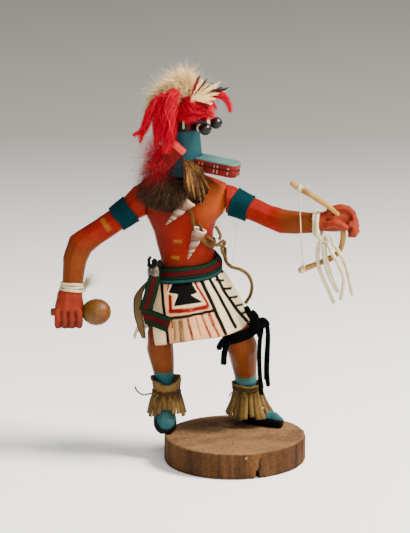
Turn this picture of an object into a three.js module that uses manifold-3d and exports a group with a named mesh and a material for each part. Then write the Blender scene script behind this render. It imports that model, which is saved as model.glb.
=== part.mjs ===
// A carved and painted cottonwood kachina doll on a slice of log, in millimetres.
// +Z is up, +X is to the figure's left and +Y is behind it. The origin is the middle of
// the log slice's underside. Body and arms are lofts through a few stations, the dress is
// thin sheets and rings round them, and the yarn and thongs are tubes.
import * as THREE from 'three';
import { mergeVertices } from 'three/addons/utils/BufferGeometryUtils.js';
import Module from 'manifold-3d';

const wasm = await Module();
wasm.setup();

// ---- driving dimensions -------------------------------------------------------------
const GAP = 0.3; // clearance between pieces that touch
const FAR = 400; // past the doll on every side, for flat cuts
const BASE_HEIGHT = 20;
const BASE_EDGE = 0.8; // softened edge of the log slice
const BASE_RADII = [53.6, 54.2, 53.2, 51.8, 51.6, 52, 52.4, 51.4, 50, 49.8, 49.4, 50.8];
const CRACK = { angle: -70, width: 3.4, from: 44, length: 14, height: 12 };

const BODY_Y = 12; // the middle plane of the torso, front to back
// torso sections from the hips up: height, middle X, half width, half depth
const TORSO = [
  [124, -35, 15, 10],
  [130, -34.5, 20.5, 13.2],
  [140, -33.8, 21, 13.8],
  [151, -33.8, 20.6, 13.2],
  [162, -36.3, 20.9, 12.4],
  [174, -37.7, 22.3, 12.8],
  [182, -38.4, 25.2, 13.6],
  [188, -37, 29.5, 14],
  [196, -36.2, 32, 14],
  [204, -36, 33, 12.8],
  [210, -36, 31, 10.8],
  [214, -36.5, 22, 9.4],
  [217.7, -37, 10.5, 9],
];
const TORSO_POWER = 2.3; // its ovals are a little squarer than ellipses
const SHOULDER_RIGHT_X = -66.2; // seam planes where the arms are glued on
const SHOULDER_LEFT_X = -5.8;
const SHOULDER_LEFT_Z = 180; // the left seam stops above the waist

// limbs: middle x, y, z, then half width and half depth
const LEG_RIGHT = [
  [-46, 12, 136, 9, 10],
  [-48.6, 11, 122, 11.6, 11.8],
  [-53, 8.5, 106, 11, 11.4],
  [-55.3, 8, 95, 10.2, 10.6],
  [-55.4, 10.5, 84, 9.6, 9.8],
  [-53.6, 12, 72, 8.1, 8.8],
  [-52.2, 12.6, 60, 6.3, 7],
  [-52.2, 13, 50, 6, 6.6],
  [-52.4, 13.6, 43, 5.6, 5.8],
];
const FOOT_RIGHT = [
  [-52.8, 19.5, 47, 3.4, 3],
  [-52.8, 17.5, 43.5, 6, 5.6],
  [-52.4, 11.5, 35.5, 7, 6.2],
  [-51.8, 5.5, 28, 7.9, 5.2],
  [-51.2, 1.2, 23.4, 7.4, 4],
  [-50.8, -1.8, 21, 4.6, 2.2],
];
const LEG_LEFT = [
  [-24, 13, 134, 10, 11],
  [-16.4, 9.6, 124, 12, 11.6],
  [-8.6, 6.4, 113, 10.6, 10.6],
  [-2.2, 6, 104.4, 9.5, 10.2],
  [3.6, 6.6, 96.6, 10, 10.4],
  [5.6, 12, 86, 9.6, 10.2],
  [7.2, 20, 73, 8.2, 8.8],
  [8.6, 26, 60, 6.5, 7.2],
  [9.6, 28.6, 50, 6.2, 6.8],
  [10, 29.6, 36, 6.2, 6.8],
  [9.6, 30.4, 28, 6, 6.6],
];
const FOOT_LEFT = [
  [2.6, 34.4, 26, 3.6, 3.4],
  [5.6, 32.8, 26.4, 6.2, 6.2],
  [13, 28.6, 26.6, 7, 6.8],
  [22, 23.4, 25.6, 7.6, 5.6],
  [31, 18.4, 24.4, 7.6, 4.4],
  [36.6, 15.2, 23, 4.4, 2.6],
];
const ARM_RIGHT = [
  [-62, 12, 200.5, 12.6, 12],
  [-69, 12, 197.6, 11.8, 11.4],
  [-75, 11, 192.6, 10.2, 10.2],
  [-82, 10, 187.4, 9, 9],
  [-90, 9, 182, 8.6, 8.8],
  [-104, 7, 173, 8.4, 8.4],
  [-114, 5, 165.5, 9, 8.6],
  [-118.3, 3.5, 154, 8.2, 8],
  [-119.4, 2, 143, 7.2, 7],
  [-120.2, 0.5, 134, 6.6, 6.2],
  [-121.8, -1.6, 127.4, 9.6, 7.6],
  [-122.6, -2.6, 119, 11, 8.8],
  [-122.8, -2, 110.6, 10.6, 8.2],
  [-122.6, -1.6, 104.9, 9.6, 6.6],
];
const ARM_LEFT = [
  [-10, 12, 199.6, 11, 11.4],
  [-3, 11.6, 198, 10.6, 10.8],
  [2, 10.6, 195.8, 9.8, 9.8],
  [8, 8.6, 193.4, 9, 9],
  [16, 6.6, 190.6, 8.8, 8.8],
  [26, 3, 186.6, 8.6, 8.4],
  [35, -1, 184.4, 8.6, 8.2],
  [45, -5, 184.4, 8, 7.8],
  [55, -8.6, 185, 7.2, 7.2],
  [61, -10.4, 185.6, 6.8, 6.8],
  [66, -11, 186.6, 8.8, 7.4],
  [74, -11, 188.4, 10.6, 8.2],
  [82, -10.6, 189.4, 10, 8],
  [88.6, -10.4, 187, 6.4, 5.6],
];
const FINGER_RADIUS = 2.9;
const RIGHT_FINGER_X = [-131, -125.6, -120.2, -115];
const RIGHT_THUMB = [[-115, -1, 125], [-114.4, 3, 119], [-116.4, 6, 112], [-121, 6.4, 109]];
const LEFT_FOREFINGER = [[67, -13, 194.6], [75, -14.4, 199], [84, -14.6, 197.6], [89, -17.4, 191],
  [84.4, -20.6, 184.6]];
const LEFT_FOREFINGER_RADIUS = 3.5;
const LEFT_THUMB = [[64.6, -15, 184], [70.6, -19.6, 187], [77.4, -21.4, 186], [82.6, -21.4, 182.6]];
const LEFT_THUMB_RADIUS = 3.4;

// the head: mask axis, facing direction and heights
const MASK = { x: -38, y: 8, bottom: 218, radius: 14.3, top: 270 };
const FACING_DEG = -19;
const SNOUT = { length: 33.6, width: 17, height: 10.4, topZ: 233.4, root: 10.5, droop: 7.2 };
const EYE = { radius: 4.3, reach: 24.3, spread: 29, z: 255.5, stalk: 2.4 };
const EAR = { length: 26, width: 12, thickness: 5, lean: 51.5, z: 236 };

const BOW_RADIUS = 1.75;
const BOW_STEPS = 17;
const BOW = [
  [40.9, -17, 217.1],
  [47.5, -17, 212.6],
  [56.3, -17, 207.4],
  [65.8, -16.4, 200.9],
  [74.6, -15.6, 193.6],
  [78.2, -15, 187],
  [79.2, -15, 180.3],
  [79.3, -15, 174.4],
  [77.2, -15.5, 166.1],
  [72.1, -16, 161.2],
  [66.2, -16.5, 158.3],
  [59.4, -17, 155.6],
  [46.8, -17, 150.6],
];
const RATTLE = { x: -102.4, y: -2.4, z: 115.6, radius: 8.8, halfLength: 9.6, handle: 3.1 };
const RATTLE_END_X = -136.4;

// sash and kilt: heights round the waist at an angle (0 = the figure's left, -90 = front)
const SASH = { middle: 153.3, side: 3.6, front: 3, height: 11.6, thickness: 1.8 };
const KILT = { x: -31.6, halfWidth: 43.4, halfDepth: 30, thickness: 0.9, hem: 97.8, tuck: 3.4 };
const KILT_OPEN_DEG = { frontTop: -165, frontHem: -127, back: 184 };

const LIMB_SIDES = 10;
const FINGER_SIDES = 6;
const CORD_SIDES = 8;
const YARN_RADIUS = 1.25;
const STRAND_RADIUS = 1.5;
const BUNDLE_RADIUS = 1.75;
const THONG_RADIUS = 1;
const STRING_RADIUS = 0.35;

// ---- finishes -----------------------------------------------------------------------
const finish = (color, roughness, metalness = 0) =>
  new THREE.MeshStandardMaterial({ color, roughness, metalness });
const FINISH = {
  log: finish('#8c6446', 0.9),
  orange: finish('#c0401e', 0.6),
  turquoise: finish('#2e7f80', 0.6),
  red: finish('#8a1210', 0.5),
  black: finish('#1a1210', 0.25),
  gourd: finish('#a86e2a', 0.45),
  peeled: finish('#d9ae72', 0.6),
  leather: finish('#e0ceb4', 0.8),
  suede: finish('#7a6038', 0.95),
  felt: finish('#0f5a5e', 1),
  whiteYarn: finish('#e8dcc6', 1),
  blackYarn: finish('#0c1014', 1),
  woven: finish('#6a1822', 0.95),
  disc: finish('#9a9488', 0.4),
  shell: finish('#d8b8a4', 0.4),
  fur: finish('#3e3026', 1),
  brownFeather: finish('#b98a4a', 0.8),
  down: finish('#d8be94', 1),
  wool: finish('#d8101c', 1),
};

// ---- geometry helpers ---------------------------------------------------------------
const point = (x, y, z) => new THREE.Vector3(x, y, z);
const radians = THREE.MathUtils.degToRad;
const DEPTH_AXIS = point(0, 1, 0);
const UP_AXIS = point(0, 0, 1);

// indexed geometry whose faces point out whichever way the points were walked
function closed(points, faces) {
  const volume = faces.reduce((sum, _, i) => {
    if (i % 3 !== 0) return sum;
    const [a, b, c] = [points[faces[i]], points[faces[i + 1]], points[faces[i + 2]]];
    return sum + a.dot(b.clone().cross(c));
  }, 0);
  const geometry = new THREE.BufferGeometry().setFromPoints(points);
  geometry.setIndex(volume < 0 ? faces.toReversed() : faces);
  geometry.computeVertexNormals();
  return geometry;
}

// skin over rings of points, each end closed by a fan to its middle
function skin(rings) {
  const sides = rings[0].length;
  const points = rings.flat();
  const middle = (ring) => ring.reduce((sum, p) => sum.add(p), point(0, 0, 0)).divideScalar(sides);
  const start = points.push(middle(rings[0])) - 1;
  const end = points.push(middle(rings.at(-1))) - 1;
  const lastRing = (rings.length - 1) * sides;
  const faces = [];
  for (let side = 0; side < sides; side += 1) {
    const next = (side + 1) % sides;
    for (let ring = 0; ring < lastRing; ring += sides) {
      faces.push(ring + side, ring + next, ring + sides + next);
      faces.push(ring + side, ring + sides + next, ring + sides + side);
    }
    faces.push(start, next, side, end, lastRing + side, lastRing + next);
  }
  return closed(points, faces);
}

// an oval of points about a middle, squarer as power rises above 2
function oval(middle, acrossAxis, depthAxis, halfWidth, halfDepth, sides, power = 2) {
  return Array.from({ length: sides }, (_, side) => {
    const angle = (2 * Math.PI * side) / sides;
    const [c, s] = [Math.cos(angle), Math.sin(angle)];
    return middle.clone()
      .addScaledVector(acrossAxis, halfWidth * Math.sign(c) * Math.abs(c) ** (2 / power))
      .addScaledVector(depthAxis, halfDepth * Math.sign(s) * Math.abs(s) ** (2 / power));
  });
}

// a limb: ovals square to a smooth path through the stations, with room added all round
function limb(stations, room = 0) {
  const path = new THREE.CatmullRomCurve3(stations.map(([x, y, z]) => point(x, y, z)));
  const sizes = new THREE.CatmullRomCurve3(stations.map(([, , , a, b]) => point(a, b, 0)));
  const count = stations.length - 1;
  const rings = [];
  for (let i = 0; i <= count; i += 1) {
    const along = path.getTangent(i / count);
    const across = DEPTH_AXIS.clone().cross(along).normalize();
    const size = sizes.getPoint(i / count);
    rings.push(oval(path.getPoint(i / count), across, along.clone().cross(across),
      size.x + room, size.y + room, LIMB_SIDES));
  }
  return skin(rings);
}

// the torso's oval at a height, between its stations
function torsoAt(z) {
  const above = TORSO.findIndex((station) => station[0] >= z);
  const [low, high] = [TORSO[Math.max(above - 1, 0)], TORSO[above]];
  const share = high === low ? 0 : (z - low[0]) / (high[0] - low[0]);
  const [, x, halfWidth, halfDepth] = low.map((value, i) => value + share * (high[i] - value));
  return { x, halfWidth, halfDepth };
}

function torso(room = 0) {
  return skin(TORSO.map(([z]) => {
    const { x, halfWidth, halfDepth } = torsoAt(z);
    return oval(point(x, BODY_Y, z), point(1, 0, 0), DEPTH_AXIS, halfWidth + room,
      halfDepth + room, 16, TORSO_POWER);
  }));
}

// a round tube along a smooth path through the points
function tube(points, radius, sides, steps) {
  const section = new THREE.Shape(oval(point(0, 0, 0), point(1, 0, 0), DEPTH_AXIS, radius, radius,
    sides).map((p) => new THREE.Vector2(p.x, p.y)));
  const extrudePath = new THREE.CatmullRomCurve3(points.map(([x, y, z]) => point(x, y, z)));
  return new THREE.ExtrudeGeometry(section, { steps, extrudePath });
}

// a thin sheet of even thickness; pointAt(u, v) gives its middle surface for u, v in 0..1
function sheet(pointAt, columns, rows, thickness) {
  const width = columns + 1;
  const layer = width * (rows + 1);
  const sides = [[], []];
  const step = 1e-3;
  for (let row = 0; row <= rows; row += 1) {
    for (let column = 0; column <= columns; column += 1) {
      const [u, v] = [column / columns, row / rows];
      const here = pointAt(u, v);
      const alongU = pointAt(u + step, v).sub(here);
      const alongV = pointAt(u, v + step).sub(here);
      const normal = alongU.cross(alongV).normalize();
      sides[0].push(here.clone().addScaledVector(normal, thickness / 2));
      sides[1].push(here.clone().addScaledVector(normal, -thickness / 2));
    }
  }
  const faces = [];
  const quad = (a, b, c, d) => faces.push(a, b, c, a, c, d);
  for (let row = 0; row < rows; row += 1) {
    for (let column = 0; column < columns; column += 1) {
      const a = row * width + column;
      quad(a, a + 1, a + width + 1, a + width);
      quad(layer + a, layer + a + width, layer + a + width + 1, layer + a + 1);
    }
  }
  const rim = [];
  for (let column = 0; column < columns; column += 1) rim.push(column);
  for (let row = 0; row < rows; row += 1) rim.push(row * width + columns);
  for (let column = columns; column > 0; column -= 1) rim.push(rows * width + column);
  for (let row = rows; row > 0; row -= 1) rim.push(row * width);
  rim.forEach((a, i) => {
    const b = rim[(i + 1) % rim.length];
    quad(a, layer + a, layer + b, b);
  });
  return closed(sides.flat(), faces);
}

// a ring turned from a closed outline of [radius, height], its axis along a direction
function ring(outline, middle, axis, segments) {
  const profile = [...outline, outline[0]].map(([r, h]) => new THREE.Vector2(r, h));
  const turn = new THREE.Quaternion().setFromUnitVectors(DEPTH_AXIS, axis.clone().normalize());
  const geometry = new THREE.LatheGeometry(profile, segments);
  return geometry.applyQuaternion(turn).translate(middle.x, middle.y, middle.z);
}

// an egg with level ovals, used for tufts of fluff and fur
function egg(middle, halfWidth, halfDepth, halfHeight, widthSegments = 14, heightSegments = 9) {
  return new THREE.SphereGeometry(1, widthSegments, heightSegments)
    .rotateX(Math.PI / 2)
    .scale(halfWidth, halfDepth, halfHeight)
    .translate(middle.x, middle.y, middle.z);
}

// ---- joining and cutting ------------------------------------------------------------
function solid(geometry) {
  const bare = new THREE.BufferGeometry();
  bare.setAttribute('position', geometry.getAttribute('position').clone());
  if (geometry.index) bare.setIndex(geometry.index.clone());
  const merged = mergeVertices(bare, 1e-4);
  return new wasm.Manifold(new wasm.Mesh({
    numProp: 3,
    vertProperties: new Float32Array(merged.getAttribute('position').array),
    triVerts: new Uint32Array(merged.index.array),
  }));
}

const join = (...geometries) => geometries.map(solid).reduce((all, next) => all.add(next));
const cut = (whole, ...geometries) =>
  geometries.map(solid).reduce((rest, next) => rest.subtract(next), whole);

function surface(manifold) {
  const { vertProperties, triVerts } = manifold.getMesh();
  const geometry = new THREE.BufferGeometry();
  geometry.setAttribute('position', new THREE.BufferAttribute(vertProperties, 3));
  geometry.setIndex(new THREE.BufferAttribute(triVerts, 1));
  geometry.computeVertexNormals();
  return geometry;
}

// a block from one corner to the other, for flat cuts
function block(low, high) {
  const size = high.clone().sub(low);
  const middle = high.clone().add(low).divideScalar(2);
  return new THREE.BoxGeometry(size.x, size.y, size.z).translate(middle.x, middle.y, middle.z);
}

// ---- the log slice ------------------------------------------------------------------
function logSlice() {
  const corners = BASE_RADII.map((radius, i) => {
    const angle = (2 * Math.PI * i) / BASE_RADII.length;
    return point(radius * Math.cos(angle), radius * Math.sin(angle), 0);
  });
  const outline = new THREE.CatmullRomCurve3(corners, true).getPoints(30).slice(0, -1);
  const shape = new THREE.Shape(outline.map((p) => new THREE.Vector2(p.x, p.y)));
  const slice = new THREE.ExtrudeGeometry(shape, {
    depth: BASE_HEIGHT - 2 * BASE_EDGE,
    bevelThickness: BASE_EDGE,
    bevelSize: BASE_EDGE,
    bevelOffset: -BASE_EDGE,
    bevelSegments: 1,
  }).translate(0, 0, BASE_EDGE);
  const wedge = new THREE.Shape([
    new THREE.Vector2(-CRACK.width / 2, -1),
    new THREE.Vector2(CRACK.width / 2, -1),
    new THREE.Vector2(0, CRACK.height),
  ]);
  const inner = point(CRACK.from, 0, 0).applyAxisAngle(UP_AXIS, radians(CRACK.angle));
  const crack = new THREE.ExtrudeGeometry(wedge, { depth: CRACK.length, bevelEnabled: false })
    .rotateX(Math.PI / 2)
    .rotateZ(radians(CRACK.angle + 90))
    .translate(inner.x, inner.y, inner.z);
  return surface(cut(solid(slice), crack));
}

// ---- the carved figure --------------------------------------------------------------
function body() {
  const floor = BASE_HEIGHT + GAP;
  const whole = join(torso(), limb(LEG_RIGHT), limb(LEG_LEFT), limb(FOOT_RIGHT), limb(FOOT_LEFT));
  return surface(cut(whole,
    block(point(-FAR, -FAR, -FAR), point(SHOULDER_RIGHT_X, FAR, FAR)),
    block(point(SHOULDER_LEFT_X, -FAR, SHOULDER_LEFT_Z), point(FAR, FAR, FAR)),
    block(point(-FAR, -FAR, -FAR), point(FAR, FAR, floor))));
}

function armRight() {
  const fingers = RIGHT_FINGER_X.map((x) => tube([[x, -6.6, 119], [x, -8.4, 112], [x, -6.4, 106.6],
    [x, -2, 105.4], [x, 2.4, 109]], FINGER_RADIUS, FINGER_SIDES, 5));
  const thumb = tube(RIGHT_THUMB, FINGER_RADIUS, FINGER_SIDES, 4);
  return surface(cut(join(limb(ARM_RIGHT), thumb, ...fingers),
    block(point(SHOULDER_RIGHT_X - GAP, -FAR, 0), point(FAR, FAR, FAR)),
    rattleHandle(GAP)));
}

function armLeft() {
  const forefinger = tube(LEFT_FOREFINGER, LEFT_FOREFINGER_RADIUS, FINGER_SIDES, 6);
  const thumb = tube(LEFT_THUMB, LEFT_THUMB_RADIUS, FINGER_SIDES, 4);
  const folded = [0, 1, 2].map((i) => tube([[84 + i, -9, 194 - 4 * i], [90 + i * 0.6, -13, 190 - 4.4 * i],
    [88.6, -18, 185 - 4 * i], [83.6, -17.4, 180.6 - 1.6 * i]], FINGER_RADIUS, FINGER_SIDES, 4));
  return surface(cut(join(limb(ARM_LEFT), forefinger, thumb, ...folded),
    block(point(-FAR, -FAR, 0), point(SHOULDER_LEFT_X + GAP, FAR, FAR)),
    bow(GAP)));
}

// ---- the head -----------------------------------------------------------------------
const facing = point(Math.cos(radians(FACING_DEG)), Math.sin(radians(FACING_DEG)), 0);
const headLeft = UP_AXIS.clone().cross(facing);

function mask(room = 0) {
  const { radius, bottom, top } = MASK;
  const profile = [[0, bottom - room], [radius + room, bottom - room], [radius - 0.2 + room, 234],
    [radius - 1.8 + room, 252], [radius - 2.2 + room, top - 7], [radius - 4 + room, top - 2],
    [radius - 8, top + room], [0, top + 1 + room]];
  return new THREE.LatheGeometry(profile.map(([r, h]) => new THREE.Vector2(r, h)), 20)
    .rotateX(Math.PI / 2)
    .translate(MASK.x, MASK.y, 0);
}

// moves a shape drawn with X ahead of the mask, Y to its left and Z up onto the head
function onHead(geometry) {
  return geometry.rotateZ(radians(FACING_DEG)).translate(MASK.x, MASK.y, 0);
}

function snout() {
  const { length, width, height, topZ, root, droop } = SNOUT;
  const corner = 5.4;
  const half = width / 2;
  const plan = new THREE.Shape();
  plan.moveTo(0, -half);
  plan.lineTo(length - corner, -half);
  plan.absarc(length - corner, corner - half, corner, -Math.PI / 2, 0, false);
  plan.lineTo(length, half - corner);
  plan.absarc(length - corner, half - corner, corner, 0, Math.PI / 2, false);
  plan.lineTo(0, half);
  const edge = 0.6;
  const beam = new THREE.ExtrudeGeometry(plan, {
    depth: height - 2 * edge,
    bevelThickness: edge,
    bevelSize: edge,
    bevelOffset: -edge,
    bevelSegments: 1,
    curveSegments: 3,
  }).translate(0, 0, edge - height);
  onHead(beam.rotateY(radians(droop)).translate(root, 0, topZ));
  return surface(cut(solid(beam), mask(GAP)));
}

function ear(side) {
  const half = EAR.width / 2;
  const outline = new THREE.Shape();
  outline.moveTo(-half + 2, EAR.length / 2);
  outline.lineTo(half - 2, EAR.length / 2);
  outline.quadraticCurveTo(half, EAR.length / 2, half, EAR.length / 2 - 2);
  outline.lineTo(half - 1, -EAR.length / 2 + 5);
  outline.absarc(0, -EAR.length / 2 + 5, half - 1, 0, -Math.PI, true);
  outline.lineTo(-half, EAR.length / 2 - 2);
  outline.quadraticCurveTo(-half, EAR.length / 2, -half + 2, EAR.length / 2);
  const away = MASK.radius + EAR.thickness / 2 - 0.6;
  const flat = { depth: EAR.thickness, bevelEnabled: false, curveSegments: 4 };
  const slab = new THREE.ExtrudeGeometry(outline, flat)
    .translate(0, 0, -EAR.thickness / 2)
    .rotateX(Math.PI / 2)
    .rotateY(radians(90 - EAR.lean))
    .translate(-3.4, side * away, EAR.z);
  return surface(cut(solid(onHead(slab)), mask(GAP), torso(GAP)));
}

function eye(side) {
  const direction = facing.clone().applyAxisAngle(UP_AXIS, side * radians(EYE.spread));
  const middle = point(MASK.x, MASK.y, EYE.z).addScaledVector(direction, EYE.reach);
  const ball = new THREE.SphereGeometry(EYE.radius, 10, 6).translate(middle.x, middle.y, middle.z);
  const stalk = new THREE.CylinderGeometry(EYE.stalk, EYE.stalk, EYE.reach, 8)
    .translate(0, EYE.reach / 2, 0)
    .applyQuaternion(new THREE.Quaternion().setFromUnitVectors(DEPTH_AXIS, direction))
    .translate(MASK.x, MASK.y, EYE.z);
  return surface(cut(join(ball, stalk), mask(GAP)));
}

// ---- what the hands hold ------------------------------------------------------------
function rattle() {
  const { x, y, z, radius, halfLength, handle } = RATTLE;
  const end = RATTLE_END_X - x;
  const profile = [[0, end], [handle - 0.4, end], [handle, end + 1], [handle, -halfLength]];
  for (let i = 2; i < 8; i += 1) {
    const angle = Math.PI * (i / 8);
    profile.push([radius * Math.sin(angle), -halfLength * Math.cos(angle)]);
  }
  profile.push([0, halfLength]);
  return new THREE.LatheGeometry(profile.map(([r, h]) => new THREE.Vector2(r, h)), 12)
    .rotateZ(-Math.PI / 2)
    .translate(x, y, z);
}

// the room the rattle's handle takes up in the fist
function rattleHandle(room) {
  const radius = RATTLE.handle + room;
  return new THREE.CylinderGeometry(radius, radius, 60, 10)
    .rotateZ(Math.PI / 2)
    .translate(RATTLE.x - 20, RATTLE.y, RATTLE.z);
}

const bow = (room = 0) => tube(BOW, BOW_RADIUS + room, CORD_SIDES, BOW_STEPS);

// ---- sash and kilt ------------------------------------------------------------------
const sashTop = (angle) => SASH.middle + SASH.side * Math.cos(angle) + SASH.front * Math.sin(angle);

// a point outside the torso at an angle and height, with room between
function outsideTorso(angle, z, room) {
  const { x, halfWidth, halfDepth } = torsoAt(z);
  const square = 2 / TORSO_POWER;
  const [c, s] = [Math.cos(angle), Math.sin(angle)];
  return point(
    x + (halfWidth + room) * Math.sign(c) * Math.abs(c) ** square,
    BODY_Y + (halfDepth + room) * Math.sign(s) * Math.abs(s) ** square,
    z,
  );
}

function kilt() {
  const room = GAP + KILT.thickness / 2;
  return sheet((u, row) => {
    const v = Math.max(row, 0) ** 1.37; // the top row is the straight part under the sash
    const front = THREE.MathUtils.lerp(KILT_OPEN_DEG.frontTop, KILT_OPEN_DEG.frontHem, v);
    const angle = radians(THREE.MathUtils.lerp(front, KILT_OPEN_DEG.back, u));
    const [c, s] = [Math.cos(angle), Math.sin(angle)];
    const rise = c < 0 ? (6 - 3 * s) * c : 3.5 * c + 4.5 * c ** 4;
    const top = sashTop(angle) - KILT.tuck;
    const waist = outsideTorso(angle, SASH.middle - KILT.tuck, room + 0.4);
    const flare = Math.max(0, (v - 0.15) / 0.85) ** 0.74;
    return point(
      THREE.MathUtils.lerp(waist.x, KILT.x + KILT.halfWidth * c, flare),
      THREE.MathUtils.lerp(waist.y, BODY_Y + KILT.halfDepth * s, flare),
      THREE.MathUtils.lerp(top, KILT.hem + rise, v),
    );
  }, 24, 4, KILT.thickness);
}

function sash() {
  const rings = 26;
  const room = 2 * GAP + KILT.thickness + 1.1;
  const layers = [[0, 0], [SASH.thickness, 0], [SASH.thickness, -SASH.height], [0, -SASH.height]];
  const points = [];
  for (let i = 0; i < rings; i += 1) {
    const angle = (2 * Math.PI * i) / rings;
    layers.forEach(([out, drop]) => {
      const edge = outsideTorso(angle, SASH.middle - SASH.height / 2, room + out);
      points.push(edge.setZ(sashTop(angle) + drop));
    });
  }
  const faces = [];
  for (let i = 0; i < rings; i += 1) {
    for (let j = 0; j < layers.length; j += 1) {
      const [a, b] = [i * 4 + j, i * 4 + ((j + 1) % 4)];
      const [c, d] = [((i + 1) % rings) * 4 + ((j + 1) % 4), ((i + 1) % rings) * 4 + j];
      faces.push(a, b, c, a, c, d);
    }
  }
  return closed(points, faces);
}

// a flat strip between four corners: top left, top right, bottom right, bottom left
function patch([topLeft, topRight, bottomRight, bottomLeft], thickness) {
  const [a, b, c, d] = [topLeft, topRight, bottomRight, bottomLeft].map((p) => point(...p));
  return sheet((u, v) => a.clone().lerp(b, u).lerp(d.clone().lerp(c, u), v), 2, 2, thickness);
}

function sashTail() {
  return surface(join(
    patch([[-64, -8.6, 142.6], [-55, -8.6, 141.6], [-61.6, -10.4, 119], [-70.4, -9, 121]], 1),
    patch([[-69.6, -9, 121.4], [-47, -14.4, 113.6], [-50, -15.6, 104.8], [-64.8, -10, 110.8]], 1),
  ));
}

function sashTailBack() {
  return sheet((u, v) => {
    const route = new THREE.CatmullRomCurve3([point(-61, -1, 140), point(-67, -1, 128),
      point(-70.4, -1, 115), point(-68, -2, 103), point(-65, -3, 91.6)]);
    return route.getPoint(Math.min(v, 1)).add(point(0, 7 * (u - 0.5) * (1 - 0.6 * v), 0));
  }, 2, 8, 0.9);
}

function concho() {
  const middle = point(-59.6, -4.6, 146);
  const axis = point(-0.72, -0.69, 0);
  return new THREE.CylinderGeometry(5.7, 5.2, 1.2, 18)
    .applyQuaternion(new THREE.Quaternion().setFromUnitVectors(DEPTH_AXIS, axis.normalize()))
    .translate(middle.x, middle.y, middle.z);
}

// ---- bands, wraps and cuffs ---------------------------------------------------------
// a felt strip round the upper arm, wider towards the shoulder
function armband(stations, index) {
  const { halfWidth, shoulderEnd, elbowEnd, thickness } = ARMBAND;
  const at = (i) => point(...stations[i].slice(0, 3));
  const outline = [[shoulderEnd, -halfWidth], [shoulderEnd + thickness, -halfWidth],
    [elbowEnd + thickness, halfWidth], [elbowEnd, halfWidth]];
  return ring(outline, at(index), at(index + 1).sub(at(index - 1)), 14);
}

// turns of yarn side by side: a ring whose outside is scalloped
function wraps(innerRadius, turns, middle, axis) {
  const outerRadius = innerRadius + 2 * YARN_RADIUS;
  const outline = [[innerRadius, -turns * YARN_RADIUS]];
  for (let turn = 0; turn < turns; turn += 1) {
    const height = (2 * turn + 1 - turns) * YARN_RADIUS;
    outline.push([outerRadius - YARN_RADIUS, height - YARN_RADIUS * 0.98]);
    outline.push([outerRadius, height]);
  }
  outline.push([outerRadius - YARN_RADIUS, turns * YARN_RADIUS]);
  outline.push([innerRadius, turns * YARN_RADIUS]);
  return ring(outline, middle, axis, 12);
}

// a suede cuff: wide at the rim, drawn in at the tie, flared again at the fringe
function cuff({ x, y, heights, radii }) {
  const outside = heights.map((z, i) => [radii[i], z]);
  const inside = heights.map((z, i) => [radii[i] - CUFF_WALL, z]).toReversed();
  return ring([...outside, ...inside], point(x, y, 0), UP_AXIS, 14);
}

// the thong drawn round a cuff at its waist
function cuffTie({ x, y, heights, radii }) {
  const low = heights[2] - THONG_RADIUS;
  const high = heights[2] + THONG_RADIUS;
  const inner = radii[2] + GAP + 0.4;
  const outer = inner + 1.4;
  return ring([[inner, low], [outer, low], [outer, high], [inner, high]], point(x, y, 0), UP_AXIS, 14);
}

// ---- chest dress --------------------------------------------------------------------
const SHELL_UPPER = { tip: [-51, -10.4, 183.6], mouth: [-33, -9.4, 202.4], radius: 5.3 };
const SHELL_LOWER = { tip: [-34.8, -7.6, 156.6], mouth: [-25.6, -9.4, 180.4], radius: 5 };
const CUFF_WALL = 1.1;
// cuff outsides from the fringe up to the rim, with the waist third
const CUFF_RIGHT = { x: -50.8, y: 12.6, heights: [35, 43.5, 50, 64], radii: [13.6, 12.6, 8.8, 10.7] };
const CUFF_LEFT = { x: 10.6, y: 28.4, heights: [33.4, 39, 49, 55], radii: [14.8, 12.6, 9.8, 12.4] };
const ARMBAND = { halfWidth: 6.6, shoulderEnd: 10.5, elbowEnd: 9.4, thickness: 0.9 };
const STRAP = { width: 4.6, thickness: 1.1 };
const STRAP_ROUTE = [[-100, 203], [-88, 196.6], [-76, 182], [-62, 172.6], [-40, 166], [0, 165],
  [40, 168], [75, 180], [100, 194], [112, 204]]; // angle round the torso and height

function bandolier(room = 0) {
  const { width, thickness } = STRAP;
  const route = new THREE.CatmullRomCurve3(STRAP_ROUTE.map(([angle, z]) => point(angle, z, 0)));
  return sheet((u, v) => {
    const { x: angle, y: z } = route.getPoint(Math.min(Math.max(u, 0), 1.01));
    return outsideTorso(radians(angle), z + (width + 2 * room) * (v - 0.5), GAP + thickness / 2);
  }, 20, 1, thickness + 2 * room);
}

// a ridged shell from its tip to its mouth
function turret({ tip: tipAt, mouth: mouthAt, radius }, room = 0) {
  const turns = 5;
  const mouth = point(...mouthAt);
  const tip = point(...tipAt);
  const away = mouth.clone().sub(tip).normalize();
  tip.addScaledVector(away, -room);
  const length = tip.distanceTo(mouth) + room;
  const profile = [[0, 0]];
  const widest = radius + room;
  for (let i = 0; i < turns; i += 1) {
    const [low, high] = [(i + 0.55) / turns, (i + 1) / turns];
    profile.push([widest * low * 1.04, length * low]);
    profile.push([widest * high * 0.92, length * high]);
  }
  profile.push([0, length * 0.97]);
  return new THREE.LatheGeometry(profile.map(([r, h]) => new THREE.Vector2(r, h)), 8)
    .applyQuaternion(new THREE.Quaternion().setFromUnitVectors(DEPTH_AXIS, away))
    .translate(tip.x, tip.y, tip.z);
}

// a long feather: a leaf-shaped sheet bowed along its quill
function feather(route, widest, thickness) {
  const quill = new THREE.CatmullRomCurve3(route.map((p) => point(...p)));
  return sheet((u, v) => {
    const share = Math.min(Math.max(v, 0), 1);
    const width = widest * (0.16 + 0.84 * Math.sin(Math.PI * Math.min(share * 0.9 + 0.1, 0.97)));
    return quill.getPoint(share).add(point(1, -0.35, 0.25).multiplyScalar(width * (u - 0.5)));
  }, 2, 7, thickness);
}

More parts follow.
